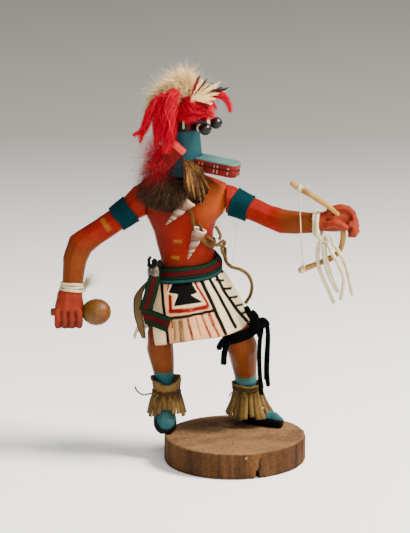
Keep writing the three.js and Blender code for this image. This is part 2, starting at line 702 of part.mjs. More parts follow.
const CHIN_FEATHER = [[-35, -15, 229], [-29.6, -17, 223], [-23.6, -17, 212], [-20.6, -16, 200]];
const HEAD_FEATHER = [[-29, -3, 279], [-22, -5, 283], [-14, -5, 287], [-8, -4, 289]];

// the fur round the neck and right shoulder, fitted round what it lies against
function ruff() {
  const fluff = solid(egg(point(-43, 8, 206), 28, 23, 17, 12, 6));
  return surface(cut(fluff, torso(GAP), mask(GAP), limb(ARM_RIGHT, GAP), bandolier(GAP),
    turret(SHELL_UPPER, GAP)));
}

// ---- crown --------------------------------------------------------------------------
const HEAD_DOWN = point(-41.5, 8, 285);
// each lock of dyed wool: its route and radius
const LOCKS = [
  [[[-43, 0, 272], [-52, -4, 276], [-60, -4.6, 268], [-66.4, -4, 254], [-72, -3, 246]], 3.4],
  [[[-42, -4, 272], [-49, -7, 277], [-55, -8.6, 264], [-57.6, -9, 249], [-58, -8, 239]], 4],
  [[[-40, -6, 270], [-44.6, -10, 274], [-47.6, -11.6, 262], [-49.2, -12.2, 250], [-50.6, -12.2, 243]], 4.4],
  [[[-32, 2, 270], [-21, -2, 276], [-12, -2, 278.6], [-6, -2, 272], [-3.6, -2, 266.4]], 2.6],
];

function redWool() {
  const locks = LOCKS.map(([route, radius]) => tube(route, radius, FINGER_SIDES, 4));
  const cap = egg(point(-34, 1, 267), 16, 15.4, 7.4, 12, 6);
  const downRoom = egg(HEAD_DOWN, 15 + GAP, 13 + GAP, 12.5 + GAP, 10, 6);
  return surface(cut(join(cap, ...locks), mask(GAP), downRoom));
}

// ---- cords: each route runs from where the cord leaves the object to its end ----------
const CORDS = {
  bow_string: { radius: STRING_RADIUS, steps: 6, finish: 'whiteYarn', route: [
    [47.2, -19.2, 210.4], [47.3, -19.2, 204], [47.5, -19.2, 197], [48, -19.2, 187], [48.4, -19.2, 178.2],
    [49.2, -19.2, 166], [50.1, -19.2, 155.6]] },
  white_strand_1: { radius: STRAND_RADIUS, steps: 6, finish: 'whiteYarn', route: [
    [61.4, -20, 172.6], [60.6, -20.6, 165], [61, -21, 157], [63.6, -21, 148.6], [68.6, -20.6, 137.6],
    [73, -20.4, 127.4]] },
  white_strand_2: { radius: STRAND_RADIUS, steps: 6, finish: 'whiteYarn', route: [
    [64.6, -21.8, 172.4], [65.2, -23.4, 164], [66.8, -24.4, 156], [70, -24.6, 147], [75.6, -24.4, 136.4]] },
  white_strand_3: { radius: STRAND_RADIUS, steps: 6, finish: 'whiteYarn', route: [
    [67.8, -22.2, 172.6], [71, -25, 166], [75.6, -26, 158], [79.6, -26.4, 148], [79, -26.4, 139],
    [77.6, -26.2, 131]] },
  white_strand_4: { radius: STRAND_RADIUS, steps: 6, finish: 'whiteYarn', route: [
    [71.2, -21.4, 173.2], [75.6, -22.4, 167], [80.6, -22.4, 158], [84, -22.4, 146], [86.4, -22.4, 133.4]] },
  white_strand_5: { radius: STRAND_RADIUS, steps: 6, finish: 'whiteYarn', route: [
    [65.6, -17.4, 172.2], [66, -18.9, 165], [67.6, -20.1, 158], [69.6, -19.6, 151], [72, -18.2, 143],
    [75.4, -17.2, 135]] },
  black_strand_1: { radius: BUNDLE_RADIUS, steps: 7, finish: 'blackYarn', route: [
    [19.8, 2, 105.4], [20.2, 0.6, 101], [19, 0, 93], [18.6, 0, 82], [19, 0, 68], [20.4, 0.6, 51]] },
  black_strand_2: { radius: BUNDLE_RADIUS, steps: 7, finish: 'blackYarn', route: [
    [21.4, 5.6, 107], [24.2, 4.6, 103.6], [25.2, 3.8, 95], [24.9, 3.6, 82], [24.6, 3.6, 68],
    [25.4, 4, 56.6]] },
  black_strand_3: { radius: BUNDLE_RADIUS, steps: 7, finish: 'blackYarn', route: [
    [20.4, 9.4, 107.4], [22.8, 9.4, 104.6], [25, 8.8, 99], [24.8, 8.6, 88], [24, 8.6, 74],
    [24, 8.8, 60]] },
  thong_loop: { radius: THONG_RADIUS, steps: 10, finish: 'suede', route: [
    [-7, 13, 161], [-6.4, 14, 151.6], [-3, 15, 146.2], [4.6, 15.4, 143.6], [10.4, 15.6, 139.2],
    [13.2, 15.6, 131.6], [12, 15.4, 123.8], [8.2, 15, 117.6]] },
};

// ---- the whole doll -----------------------------------------------------------------
const doll = new THREE.Group();

function piece(name, geometry, finishName) {
  const mesh = new THREE.Mesh(geometry, FINISH[finishName]);
  mesh.name = name;
  doll.add(mesh);
}

piece('base', logSlice(), 'log');
piece('body', body(), 'orange');
piece('arm_right', armRight(), 'orange');
piece('arm_left', armLeft(), 'orange');
piece('mask', mask(), 'turquoise');
piece('snout', snout(), 'red');
piece('ear_right', ear(-1), 'red');
piece('ear_left', ear(1), 'red');
piece('eye_right', eye(-1), 'black');
piece('eye_left', eye(1), 'black');
piece('rattle', rattle(), 'gourd');
piece('bow', bow(), 'peeled');
piece('kilt', kilt(), 'leather');
piece('sash', sash(), 'woven');
piece('sash_tail', sashTail(), 'woven');
piece('sash_tail_back', sashTailBack(), 'woven');
piece('concho', concho(), 'disc');
piece('armband_right', armband(ARM_RIGHT, 3), 'felt');
piece('armband_left', armband(ARM_LEFT, 3), 'felt');
piece('wrist_yarn_right', wraps(7.6, 3, point(-119.9, 1, 138), point(0.1, 0.16, 1)), 'whiteYarn');
piece('wrist_yarn_left', wraps(7.9, 2, point(59.4, -9.9, 185.4), point(1, -0.28, 0.08)), 'whiteYarn');
piece('yarn_knot', egg(point(65.4, -19.6, 175.6), 5.4, 3.6, 2.6, 10, 6), 'whiteYarn');
piece('garter', wraps(11.9, 2, point(3.2, 7.6, 97.6), point(-0.36, -0.14, 0.92)), 'blackYarn');
piece('cuff_right', cuff(CUFF_RIGHT), 'suede');
piece('cuff_left', cuff(CUFF_LEFT), 'suede');
piece('cuff_tie_right', cuffTie(CUFF_RIGHT), 'suede');
piece('cuff_tie_left', cuffTie(CUFF_LEFT), 'suede');
piece('bandolier', bandolier(), 'suede');
piece('shell_upper', turret(SHELL_UPPER), 'shell');
piece('shell_lower', turret(SHELL_LOWER), 'shell');
piece('ruff', ruff(), 'fur');
piece('chin_feather_long', feather(CHIN_FEATHER, 4, 0.8), 'brownFeather');
piece('head_down', surface(cut(solid(egg(HEAD_DOWN, 15, 13, 12.5, 10, 6)), mask(GAP))), 'down');
piece('feather_tuft', feather(HEAD_FEATHER, 12, 0.9), 'down');
piece('red_wool', redWool(), 'wool');
Object.entries(CORDS).forEach(([name, cord]) => {
  piece(name, tube(cord.route, cord.radius, CORD_SIDES, cord.steps), cord.finish);
});

export default doll;
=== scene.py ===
# A carved and painted kachina doll on a slice of log, finished in detail over the packed
# part. Sizes are in millimetres and turned to metres where each mesh is made. +Z is up,
# +X is to the figure's left and +Y is behind it.
import math
import bpy
import numpy as np
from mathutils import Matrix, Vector


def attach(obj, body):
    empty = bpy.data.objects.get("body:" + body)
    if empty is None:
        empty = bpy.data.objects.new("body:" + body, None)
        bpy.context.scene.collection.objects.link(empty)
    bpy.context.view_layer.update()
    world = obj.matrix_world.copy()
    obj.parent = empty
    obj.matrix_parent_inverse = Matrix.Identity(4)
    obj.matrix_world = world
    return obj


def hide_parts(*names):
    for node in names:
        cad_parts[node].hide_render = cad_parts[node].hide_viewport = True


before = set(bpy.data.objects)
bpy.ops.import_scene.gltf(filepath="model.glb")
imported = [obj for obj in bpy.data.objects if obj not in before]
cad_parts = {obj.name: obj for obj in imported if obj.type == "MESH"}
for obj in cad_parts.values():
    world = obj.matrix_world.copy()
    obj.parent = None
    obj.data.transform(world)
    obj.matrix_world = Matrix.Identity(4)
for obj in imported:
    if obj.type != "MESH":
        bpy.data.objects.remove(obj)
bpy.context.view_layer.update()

MM = 0.001
SEED = 11
rng = np.random.default_rng(SEED)

# ---- camera --------------------------------------------------------------------------
# A long lens from 2.2 m in front, 14 degrees above level.
TARGET = Vector((-0.02183, 0.0, 0.1498))
DISTANCE, ELEVATION = 2.2, math.radians(14)
camera = bpy.data.objects.new("camera", bpy.data.cameras.new("camera"))
camera.data.lens = 200.8
camera.data.sensor_width = 36
camera.data.clip_end = 20
back = Vector((0, -math.cos(ELEVATION), math.sin(ELEVATION)))
camera.location = TARGET + back * DISTANCE
camera.rotation_mode = "QUATERNION"
camera.rotation_quaternion = (-back).to_track_quat("-Z", "Y")
bpy.context.scene.collection.objects.link(camera)
bpy.context.scene.camera = camera


# ---- colours -------------------------------------------------------------------------
def linear(code):
    """A #rrggbb colour as linear values."""
    values = np.array([int(code[i:i + 2], 16) for i in (1, 3, 5)]) / 255
    return np.where(values <= 0.04045, values / 12.92, ((values + 0.055) / 1.055) ** 2.4)


COLOUR = {name: linear(code) for name, code in {
    "orange": "#721107", "deep": "#4f140b", "sunlit": "#803a12", "ochre": "#5c2d0e",
    "umber": "#3c1b08", "hand": "#762816", "hand_shade": "#350d08", "dash": "#754c14",
    "turquoise": "#0c343c", "moccasin": "#325755", "deep_teal": "#071d22",
    "pale_teal": "#486860", "mouth": "#4f0505", "bright_mouth": "#7d100b",
    "ear_pink": "#c83a34", "white": "#b2a382", "black": "#080706", "eye": "#0a0404",
    "log_top": "#745638", "log_grain": "#4c3220", "log_side": "#54371d", "bark": "#25160c",
    "gourd": "#54340c", "gourd_red": "#6b340b", "peeled": "#946c34",
    "peeled_dark": "#5e3c1a", "kilt": "#cdbb92", "kilt_pink": "#cc9268",
    "kilt_tan": "#a07248", "kilt_back": "#4c3a26", "red": "#690c08", "dark_red": "#420605",
    "salmon": "#a24d37", "green": "#0b2416", "sash_red": "#3a0a0d", "band_teal": "#193738",
    "felt": "#06262b", "suede": "#664e27", "suede_dark": "#33230d", "sole": "#060706",
    "yarn": "#cbbc9a", "yarn_shade": "#8e7a58", "black_yarn": "#040506", "shell": "#87644e",
    "shell_tan": "#5c382b", "shell_white": "#c3a88d", "shell_dark": "#1c0c08",
    "fur": "#22140b", "fur_light": "#513b27", "fur_grey": "#3b322a", "leaf": "#8e6334",
    "leaf_dark": "#3f250f", "down": "#ffe0a0", "down_brown": "#8a6844", "wool": "#cc052a",
    "wool_dark": "#7c0416", "feather_brown": "#40180e", "thread": "#a89870",
    "disc": "#615648", "disc_spot": "#1e140e", "thong": "#463015",
}.items()}


def step(low, high, value):
    """0 below low, 1 above high and smooth between; low may be the larger."""
    share = np.clip((np.asarray(value, float) - low) / (high - low), 0, 1)
    return share * share * (3 - 2 * share)


def blend(first, second, share):
    return first + (np.asarray(second) - first) * np.asarray(share)[..., None]


WAVES = rng.normal(0, 1, (7, 3))
WAVE_PHASES = rng.uniform(0, 2 * math.pi, 7)


def wobble(points, size):
    """Smooth noise from -1 to 1 whose lumps are about size mm across."""
    angles = points @ WAVES.T * (1.6 / size) + WAVE_PHASES
    return np.sin(angles).sum(-1) / 4


# ---- meshes --------------------------------------------------------------------------
class Build:
    """Points in mm, faces and colours of one piece, gathered part by part."""

    def __init__(self):
        self.points, self.faces, self.paint, self.count = [], [], [], 0

    def add(self, points, faces, paint):
        points = np.asarray(points, float).reshape(-1, 3)
        self.points.append(points)
        self.paint.append(np.broadcast_to(np.asarray(paint, float).reshape(-1, 3), points.shape))
        self.faces += [block + self.count for block in faces]
        self.count += len(points)

    def piece(self, name, material, nodes=()):
        """Makes the object and hides the CAD nodes it stands for."""
        mesh = bpy.data.meshes.new(name)
        points = np.vstack(self.points) * MM
        mesh.vertices.add(len(points))
        mesh.vertices.foreach_set("co", points.astype(np.float32).ravel())
        corners = np.concatenate([block.ravel() for block in self.faces]).astype(np.int32)
        sizes = np.concatenate([np.full(len(b), b.shape[1]) for b in self.faces])
        starts = np.concatenate([[0], np.cumsum(sizes)[:-1]]).astype(np.int32)
        mesh.loops.add(len(corners))
        mesh.loops.foreach_set("vertex_index", corners)
        mesh.polygons.add(len(sizes))
        mesh.polygons.foreach_set("loop_start", starts)
        mesh.update(calc_edges=True)
        mesh.validate()
        mesh.polygons.foreach_set("use_smooth", np.full(len(mesh.polygons), True))
        paint = mesh.color_attributes.new("paint", "FLOAT_COLOR", "POINT")
        rgba = np.ones((len(points), 4), np.float32)
        rgba[:, :3] = np.vstack(self.paint)
        paint.data.foreach_set("color", rgba.ravel())
        mesh.materials.append(material)
        made = bpy.data.objects.new(name, mesh)
        bpy.context.scene.collection.objects.link(made)
        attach(made, "root")
        if nodes:
            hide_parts(*nodes)
        return made


def refined(name, voxel, smoothing):
    """Points, normals and faces of a CAD node made fine and softened, as numpy arrays."""
    rough = bpy.data.objects.new("rough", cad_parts[name].data.copy())
    bpy.context.scene.collection.objects.link(rough)
    remesh = rough.modifiers.new("remesh", "REMESH")
    remesh.mode = "VOXEL"
    remesh.voxel_size = voxel * MM
    soften = rough.modifiers.new("soften", "SMOOTH")
    soften.iterations = smoothing
    graph = bpy.context.evaluated_depsgraph_get()
    mesh = rough.evaluated_get(graph).to_mesh()
    count = len(mesh.vertices)
    points, normals = np.zeros(count * 3), np.zeros(count * 3)
    mesh.vertices.foreach_get("co", points)
    mesh.vertex_normals.foreach_get("vector", normals)
    mesh.calc_loop_triangles()
    faces = np.zeros(len(mesh.loop_triangles) * 3, np.int32)
    mesh.loop_triangles.foreach_get("vertices", faces)
    bpy.data.objects.remove(rough)
    return points.reshape(-1, 3) / MM, normals.reshape(-1, 3), faces.reshape(-1, 3)


def unit(vectors):
    return vectors / np.maximum(np.linalg.norm(vectors, axis=-1, keepdims=True), 1e-9)


def path(points, spacing=0.5):
    """A smooth path through the points, sampled about every spacing mm."""
    p = np.asarray(points, float)
    p = np.vstack([2 * p[0] - p[1], p, 2 * p[-1] - p[-2]])
    parts = []
    for a, b, c, d in zip(p, p[1:], p[2:], p[3:]):
        count = max(2, int(np.linalg.norm(c - b) / spacing))
        t = np.linspace(0, 1, count, endpoint=False)[:, None]
        parts.append((2 * b + (c - a) * t + (2 * a - 5 * b + 4 * c - d) * t ** 2
                      + (3 * b - 3 * c + d - a) * t ** 3) / 2)
    return np.vstack(parts + [p[-2:-1]])


def frames(line):
    """Directions along and square to a line, turned as little as possible."""
    along = unit(np.gradient(line, axis=0))
    start = np.cross(along[0], (0.31, 0.9, 0.2))
    sides = [start / np.linalg.norm(start)]
    for direction in along[1:]:
        side = sides[-1] - direction * np.dot(sides[-1], direction)
        sides.append(side / np.linalg.norm(side))
    sides = np.array(sides)
    return along, sides, np.cross(along, sides)


def spoke(turn, across, over):
    """Directions at angles turn between across and over."""
    return np.cos(turn)[..., None] * across + np.sin(turn)[..., None] * over


def distance(places, line):
    """How far places are from a line through points."""
    best = np.full(places.shape[:-1], 1e9)
    line = np.asarray(line, float)
    for a, b in zip(line, line[1:]):
        share = np.clip((places - a) @ (b - a) / ((b - a) @ (b - a)), 0, 1)
        best = np.minimum(best, np.linalg.norm(places - a - share[..., None] * (b - a), axis=-1))
    return best


def grid_faces(rows, columns, closed=False):
    """Quads of a grid of points, rows by columns, closed across the columns or not."""
    row = np.arange(rows - 1)[:, None] * columns
    column = np.arange(columns if closed else columns - 1)[None, :]
    after = (column + 1) % columns
    return np.stack([row + column, row + after, row + columns + after, row + columns + column],
                    -1).reshape(-1, 4)


def add_tube(build, line, radius, paint, sides=8, flat=1.0):
    """A tube with closed ends; flat below 1 presses it thinner one way."""
    radius = np.broadcast_to(np.asarray(radius, float), (len(line),))
    _, across, over = frames(line)
    angle = np.arange(sides) * 2 * math.pi / sides
    ring = (np.cos(angle)[None, :, None] * across[:, None]
            + flat * np.sin(angle)[None, :, None] * over[:, None])
    points = line[:, None] + radius[:, None, None] * ring
    points = np.vstack([points.reshape(-1, 3), line[:1], line[-1:]])
    last = len(line) * sides
    around = np.arange(sides)
    after = (around + 1) % sides
    caps = np.vstack([np.stack([np.full(sides, last), after, around], -1),
                      np.stack([np.full(sides, last + 1), last - sides + around,
                                last - sides + after], -1)])
    if np.ndim(paint) == 2:
        paint = np.vstack([np.repeat(paint, sides, 0), paint[:1], paint[-1:]])
    build.add(points, [grid_faces(len(line), sides, True), caps], paint)


def add_sheet(build, grid, thickness, paint, closed=False):
    """A sheet of even thickness over a grid of points; paint is one colour a point."""
    rows, columns, _ = grid.shape
    down = np.gradient(grid, axis=0)
    if closed:
        across = np.roll(grid, -1, 1) - np.roll(grid, 1, 1)
    else:
        across = np.gradient(grid, axis=1)
    normal = unit(np.cross(across, down)) * thickness / 2
    points = np.vstack([(grid + normal).reshape(-1, 3), (grid - normal).reshape(-1, 3)])
    top = grid_faces(rows, columns, closed)
    count = rows * columns
    if closed:
        ring = np.arange(columns)
        edges = [np.stack([ring, np.roll(ring, -1)], -1)]
        edges.append(edges[0][:, ::-1] + (rows - 1) * columns)
    else:
        rim = np.concatenate([np.arange(columns), np.arange(2, rows + 1) * columns - 1,
                              (rows - 1) * columns + np.arange(columns - 2, -1, -1),
                              np.arange(rows - 2, 0, -1) * columns])
        edges = [np.stack([rim, np.roll(rim, -1)], -1)]
    edges = np.vstack(edges)
    wall = np.stack([edges[:, 1], edges[:, 0], edges[:, 0] + count, edges[:, 1] + count], -1)
    paint = np.broadcast_to(paint, grid.shape).reshape(-1, 3)
    build.add(points, [top, top[:, ::-1] + count, wall], np.vstack([paint, paint]))


def add_fibres(build, lines, width, paint, tip=0.25):
    """Thin flat fibres; lines is fibres by points, and paint one colour a fibre or point."""
    count, steps, _ = lines.shape
    along = np.gradient(lines, axis=1)
    side = unit(np.cross(along, rng.normal(0, 1, (count, 1, 3))))
    half = np.asarray(width, float).reshape(-1, 1, 1) / 2 * np.linspace(1, tip, steps)[:, None]
    points = np.stack([lines + side * half, lines - side * half], 2).reshape(-1, 3)
    one = grid_faces(steps, 2)
    faces = (one[None] + np.arange(count)[:, None, None] * steps * 2).reshape(-1, 4)
    paint = np.asarray(paint, float)
    if paint.ndim == 2 and len(paint) == count:
        paint = np.broadcast_to(paint[:, None, None], (count, steps, 2, 3))
    elif paint.ndim == 3:
        paint = np.broadcast_to(paint[:, :, None], (count, steps, 2, 3))
    build.add(points, [faces], paint.reshape(-1, 3))


def grow(roots, headings, lengths, pull, stray, steps=6):
    """Fibres that leave their roots along headings and bend towards the pull."""
    t = np.linspace(0, 1, steps)[None, :, None]
    count = len(roots)
    drift = rng.normal(0, stray, (count, 1, 3)) + np.asarray(pull, float).reshape(-1, 1, 3)
    curl = rng.normal(0, stray * 0.7, (count, 1, 3))
    shape = headings[:, None] * t + drift * t ** 2 + curl * t ** 3
    return roots[:, None] + shape * np.broadcast_to(lengths, (count,))[:, None, None]


def scatter(points, faces, count):
    """Random places on a mesh and the outward directions there."""
    a, b, c = (points[faces[:, i]] for i in range(3))
    face = np.cross(b - a, c - a)
    area = np.linalg.norm(face, axis=1)
    chosen = rng.choice(len(faces), count, p=area / area.sum())
    u, v = rng.random((2, count, 1))
    flip = u + v > 1
    u, v = np.where(flip, 1 - u, u), np.where(flip, 1 - v, v)
    return a[chosen] + u * (b - a)[chosen] + v * (c - a)[chosen], unit(face[chosen])


def shades(first, second, count, lean=1.0):
    """Colours at random between two, leaning to the first as lean rises above 1."""
    return blend(first, second, rng.random(count) ** lean)


# ---- materials -----------------------------------------------------------------------
def node(tree, kind, values=(), **settings):
    """Adds a node, sets its settings, and sets or links each of its values."""
    made = tree.nodes.new(kind)
    for key, value in settings.items():
        setattr(made, key, value)
    for key, value in dict(values).items():
        if isinstance(value, bpy.types.NodeSocket):
            tree.links.new(value, made.inputs[key])
        else:
            made.inputs[key].default_value = value
    return made


def finish(name, fine, coarse, contrast, roughness, relief, stretch=(1, 1, 1), extra=None,
           **shader_values):
    """A surface in its painted colours, lighter and darker in patches coarse and fine mm
    across, with the relief of the fine ones in mm. extra may change the colour and height."""
    material = bpy.data.materials.new(name)
    material.use_nodes = True
    tree = material.node_tree
    shader = tree.nodes["Principled BSDF"]
    for key, value in shader_values.items():
        shader.inputs[key.replace("_", " ")].default_value = value
    place = node(tree, "ShaderNodeTexCoord").outputs["Object"]
    place = node(tree, "ShaderNodeMapping", {"Vector": place, "Scale": stretch}).outputs[0]
    small = node(tree, "ShaderNodeTexNoise", {"Vector": place, "Scale": 1 / (fine * MM),
                                              "Detail": 4.0, "Roughness": 0.6}).outputs["Fac"]
    large = node(tree, "ShaderNodeTexNoise", {"Vector": place, "Scale": 1 / (coarse * MM),
                                              "Detail": 3.0}).outputs["Fac"]
    both = node(tree, "ShaderNodeMath", {0: small, 1: large}, operation="ADD").outputs[0]
    light = node(tree, "ShaderNodeMapRange", {"Value": both, "From Min": 0.6, "From Max": 1.4,
                                              "To Min": 1 - contrast,
                                              "To Max": 1 + contrast}).outputs[0]
    colour = node(tree, "ShaderNodeAttribute", attribute_name="paint").outputs["Color"]
    colour = node(tree, "ShaderNodeVectorMath", {0: colour, "Scale": light},
                  operation="SCALE").outputs[0]
    height = node(tree, "ShaderNodeMath", {0: small, 1: relief * MM},
                  operation="MULTIPLY").outputs[0]
    if extra:
        colour, height = extra(tree, place, colour, height)
    tree.links.new(colour, shader.inputs["Base Color"])
    gloss = node(tree, "ShaderNodeMapRange", {"Value": both, "From Min": 0.6, "From Max": 1.4,
                                              "To Min": roughness - 0.07,
                                              "To Max": roughness + 0.07}).outputs[0]
    tree.links.new(gloss, shader.inputs["Roughness"])
    bump = node(tree, "ShaderNodeBump", {"Height": height, "Distance": 1.0})
    tree.links.new(bump.outputs[0], shader.inputs["Normal"])
    return material


def sawn(tree, place, colour, height):
    """Saw scratches, pits and a faint trace of the rings: a ring about every 5.7 mm, and 8
    scratches and 26 pits in each 50 mm."""
    heart = node(tree, "ShaderNodeMapping", {"Vector": place, "Location": (-4 * MM, -6 * MM, 0),
                                             "Scale": (1, 1, 0.02)}).outputs[0]
    rings = node(tree, "ShaderNodeTexWave", {"Vector": heart, "Distortion": 9.0,
                                             "Scale": math.tau / (20 * 5.712 * MM),
                                             "Detail": 4.0, "Detail Scale": 1.4},
                 wave_type="RINGS", rings_direction="Z").outputs["Fac"]
    scratched = node(tree, "ShaderNodeMapping", {"Vector": place, "Rotation": (0, 0, 0.35),
                                                 "Scale": (1, 9, 1)}).outputs[0]
    scratches = node(tree, "ShaderNodeTexNoise", {"Vector": scratched, "Scale": 8 / (50 * MM),
                                                  "Detail": 6.0, "Roughness": 0.7}).outputs["Fac"]
    pits = node(tree, "ShaderNodeTexNoise", {"Vector": place, "Scale": 26 / (50 * MM),
                                             "Detail": 5.0, "Roughness": 0.75}).outputs["Fac"]
    marks = node(tree, "ShaderNodeMath", {0: scratches, 1: 0.55, 2: pits},
                 operation="MULTIPLY_ADD").outputs[0]
    marks = node(tree, "ShaderNodeMath", {0: rings, 1: 0.10, 2: marks},
                 operation="MULTIPLY_ADD").outputs[0]
    light = node(tree, "ShaderNodeMapRange", {"Value": marks, "From Min": 0.55, "From Max": 1.1,
                                              "To Min": 0.5, "To Max": 1.3}).outputs[0]
    colour = node(tree, "ShaderNodeVectorMath", {0: colour, "Scale": light},
                  operation="SCALE").outputs[0]
    height = node(tree, "ShaderNodeMath", {0: marks, 1: 0.7 * MM, 2: height},
                  operation="MULTIPLY_ADD").outputs[0]
    return colour, height


MATERIAL = {
    # raw sawn wood: dull and rough, with stains and a painted shadow of the figure on top and
    # streaks up the sides
    "log": finish("log_wood", 1.6, 18, 0.28, 0.85, 0.5, extra=sawn, Specular_IOR_Level=0.1),
    # matt earth paint brushed thinly on carved root, with soft blotches and a faint glint
    "paint": finish("painted_wood", 0.9, 9, 0.2, 0.5, 0.12, Specular_IOR_Level=0.06),
    # turquoise and red mask paint, a little smoother
    "mask": finish("mask_paint", 0.8, 7, 0.13, 0.45, 0.07, Specular_IOR_Level=0.1),
    # thick paint on the eye beads, with a soft highlight
    "eye": finish("eye_gloss", 1.5, 4, 0.2, 0.36, 0.03, Specular_IOR_Level=0.25),
    # varnished gourd skin with brown clouds
    "gourd": finish("gourd_skin", 1.2, 6, 0.26, 0.42, 0.05, Specular_IOR_Level=0.2),
    # a peeled twig with long streaks
    "peeled": finish("peeled_twig", 1.0, 6, 0.25, 0.6, 0.14, stretch=(1, 1, 0.6),
                     Specular_IOR_Level=0.15),
    # thin painted leather with a close grain and slightly smudged colour
    "leather": finish("kilt_leather", 0.7, 7, 0.10, 0.72, 0.06, Specular_IOR_Level=0.04),
    # napped suede, mottled where it has been rubbed
    "suede": finish("suede", 0.9, 4, 0.3, 0.92, 0.3, Sheen_Weight=0.06,
                    Specular_IOR_Level=0.03),
    # dense wool felt
    "felt": finish("wool_felt", 0.5, 3, 0.3, 0.97, 0.3, Specular_IOR_Level=0.02),
    # twisted wool yarn
    "yarn": finish("wool_yarn", 0.35, 3, 0.15, 0.95, 0.1, Specular_IOR_Level=0.02),
    # woven band with fine threads along it
    "woven": finish("woven_band", 0.45, 5, 0.2, 0.9, 0.12, stretch=(0.35, 0.35, 1.6),
                    Specular_IOR_Level=0.03),
    # polished mottled disc
    "disc": finish("mottled_disc", 1.1, 3, 0.4, 0.35, 0.04, Specular_IOR_Level=0.3),
    # sea shell, satin, with fine growth lines
    "shell": finish("sea_shell", 0.6, 3, 0.25, 0.4, 0.1, Specular_IOR_Level=0.25),
    # soft animal hair
    "fur": finish("soft_fur", 0.5, 4, 0.2, 0.7, 0.02, Specular_IOR_Level=0.06),
    # feather barbs, slightly silky
    "feather": finish("feather_barbs", 0.5, 4, 0.15, 0.6, 0.02, Specular_IOR_Level=0.1),
    # airy down that glows where light comes through
    "down": finish("fluffy_down", 0.6, 4, 0.08, 0.9, 0.02, Subsurface_Weight=0.15,
                   Subsurface_Scale=2 * MM, Specular_IOR_Level=0.1),
    # teased dyed wool fibre
    "wool": finish("dyed_wool", 0.6, 4, 0.18, 0.8, 0.02, Specular_IOR_Level=0.02),
}


# ---- cords ---------------------------------------------------------------------------
def add_yarn(build, line, radius, light, shade, fuzz=6.0, plies=3, lay=4.2):
    """Plied yarn: plies wound round the line, with loose hairs; fuzz is hairs a mm."""
    _, across, over = frames(line)
    length = np.concatenate([[0], np.cumsum(np.linalg.norm(np.diff(line, axis=0), axis=1))])
    for ply in range(plies):
        turn = length * 2 * math.pi / lay + ply * 2 * math.pi / plies
        strand = line + spoke(turn, across, over) * radius * 0.5
        tone = blend(light, shade, 0.25 + 0.25 * wobble(strand, 3))
        taper = radius * 0.56 * (1 - 0.3 * step(length[-1] - 1.5, length[-1], length))
        add_tube(build, strand, taper, tone, 6)
    count = int(length[-1] * fuzz)
    if count:
        at = rng.integers(0, len(line), count)
        turn = rng.uniform(0, 2 * math.pi, count)
        out = spoke(turn, across[at], over[at])
        hairs = grow(line[at] + out * radius * 0.7, out, rng.uniform(0.3, 0.75, count) * radius,
                     (0, 0, -0.3), 0.25, 4)
        add_fibres(build, hairs, 0.07, shades(light, shade, count))


WHITE, SHADE, INK = COLOUR["yarn"], COLOUR["yarn_shade"], COLOUR["black_yarn"]
CORDS = {
    "bow_string": (0.35, [(47.2, -19.2, 210.4), (47.3, -19.2, 204), (47.5, -19.2, 197),
                          (48, -19.2, 187), (48.4, -19.2, 178.2), (49.2, -19.2, 166),
                          (50.1, -19.2, 155.6)]),
    "white_strand_1": (1.5, [(61.4, -20, 172.6), (60.6, -20.6, 165), (61, -21, 157),
                             (63.6, -21, 148.6), (68.6, -20.6, 137.6), (73, -20.4, 127.4)]),
    "white_strand_2": (1.5, [(64.6, -21.8, 172.4), (65.2, -23.4, 164), (66.8, -24.4, 156),
                             (70, -24.6, 147), (75.6, -24.4, 136.4)]),
    "white_strand_3": (1.5, [(67.8, -22.2, 172.6), (71, -25, 166), (75.6, -26, 158),
                             (79.6, -26.4, 148), (79, -26.4, 139), (77.6, -26.2, 131)]),
    "white_strand_4": (1.5, [(71.2, -21.4, 173.2), (75.6, -22.4, 167), (80.6, -22.4, 158),
                             (84, -22.4, 146), (86.4, -22.4, 133.4)]),
    "white_strand_5": (1.5, [(65.6, -17.4, 172.2), (66, -18.9, 165), (67.6, -20.1, 158),
                             (69.6, -19.6, 151), (72, -18.2, 143), (75.4, -17.2, 135)]),
    "black_strand_1": (1.75, [(19.8, 2, 105.4), (20.2, 0.6, 101), (19, 0, 93), (18.6, 0, 82),
                              (19, 0, 68), (20.4, 0.6, 51)]),
    "black_strand_2": (1.75, [(21.4, 5.6, 107), (24.2, 4.6, 103.6), (25.2, 3.8, 95),
                              (24.9, 3.6, 82), (24.6, 3.6, 68), (25.4, 4, 56.6)]),
    "black_strand_3": (1.75, [(20.4, 9.4, 107.4), (22.8, 9.4, 104.6), (25, 8.8, 99),
                              (24.8, 8.6, 88), (24, 8.6, 74), (24, 8.8, 60)]),
    "thong_loop": (1.0, [(-7, 13, 161), (-6.4, 14, 151.6), (-3, 15, 146.2), (4.6, 15.4, 143.6),
                         (10.4, 15.6, 139.2), (13.2, 15.6, 131.6), (12, 15.4, 123.8),
                         (8.2, 15, 117.6)]),
}


def cords():
    """The bow string, the hanging yarn and the end of the strap."""
    for name, (radius, route) in CORDS.items():
        line = path(route, 0.4)
        build = Build()
        if name == "thong_loop":
            tone = blend(COLOUR["thong"], COLOUR["suede"], 0.5 + 0.5 * wobble(line, 4))
            add_tube(build, line, 1.4 + 0.12 * wobble(line, 3), tone, 8, 0.85)
            material, far_end, lay, stiff = "suede", "bare", "loose", "medium"
        elif name == "bow_string":
            add_yarn(build, line, radius * 1.4, WHITE, SHADE, 1.5, 2, 1.2)
            material, far_end, lay, stiff = "yarn", "object", "taut", "limp"
        else:
            light, shade = (INK, COLOUR["black"]) if "black" in name else (WHITE, SHADE)
            add_yarn(build, line, radius, light, shade)
            material, far_end, lay, stiff = "yarn", "bare", "hanging", "limp"
        made = build.piece(name + "_look", MATERIAL[material], [name])


cords()


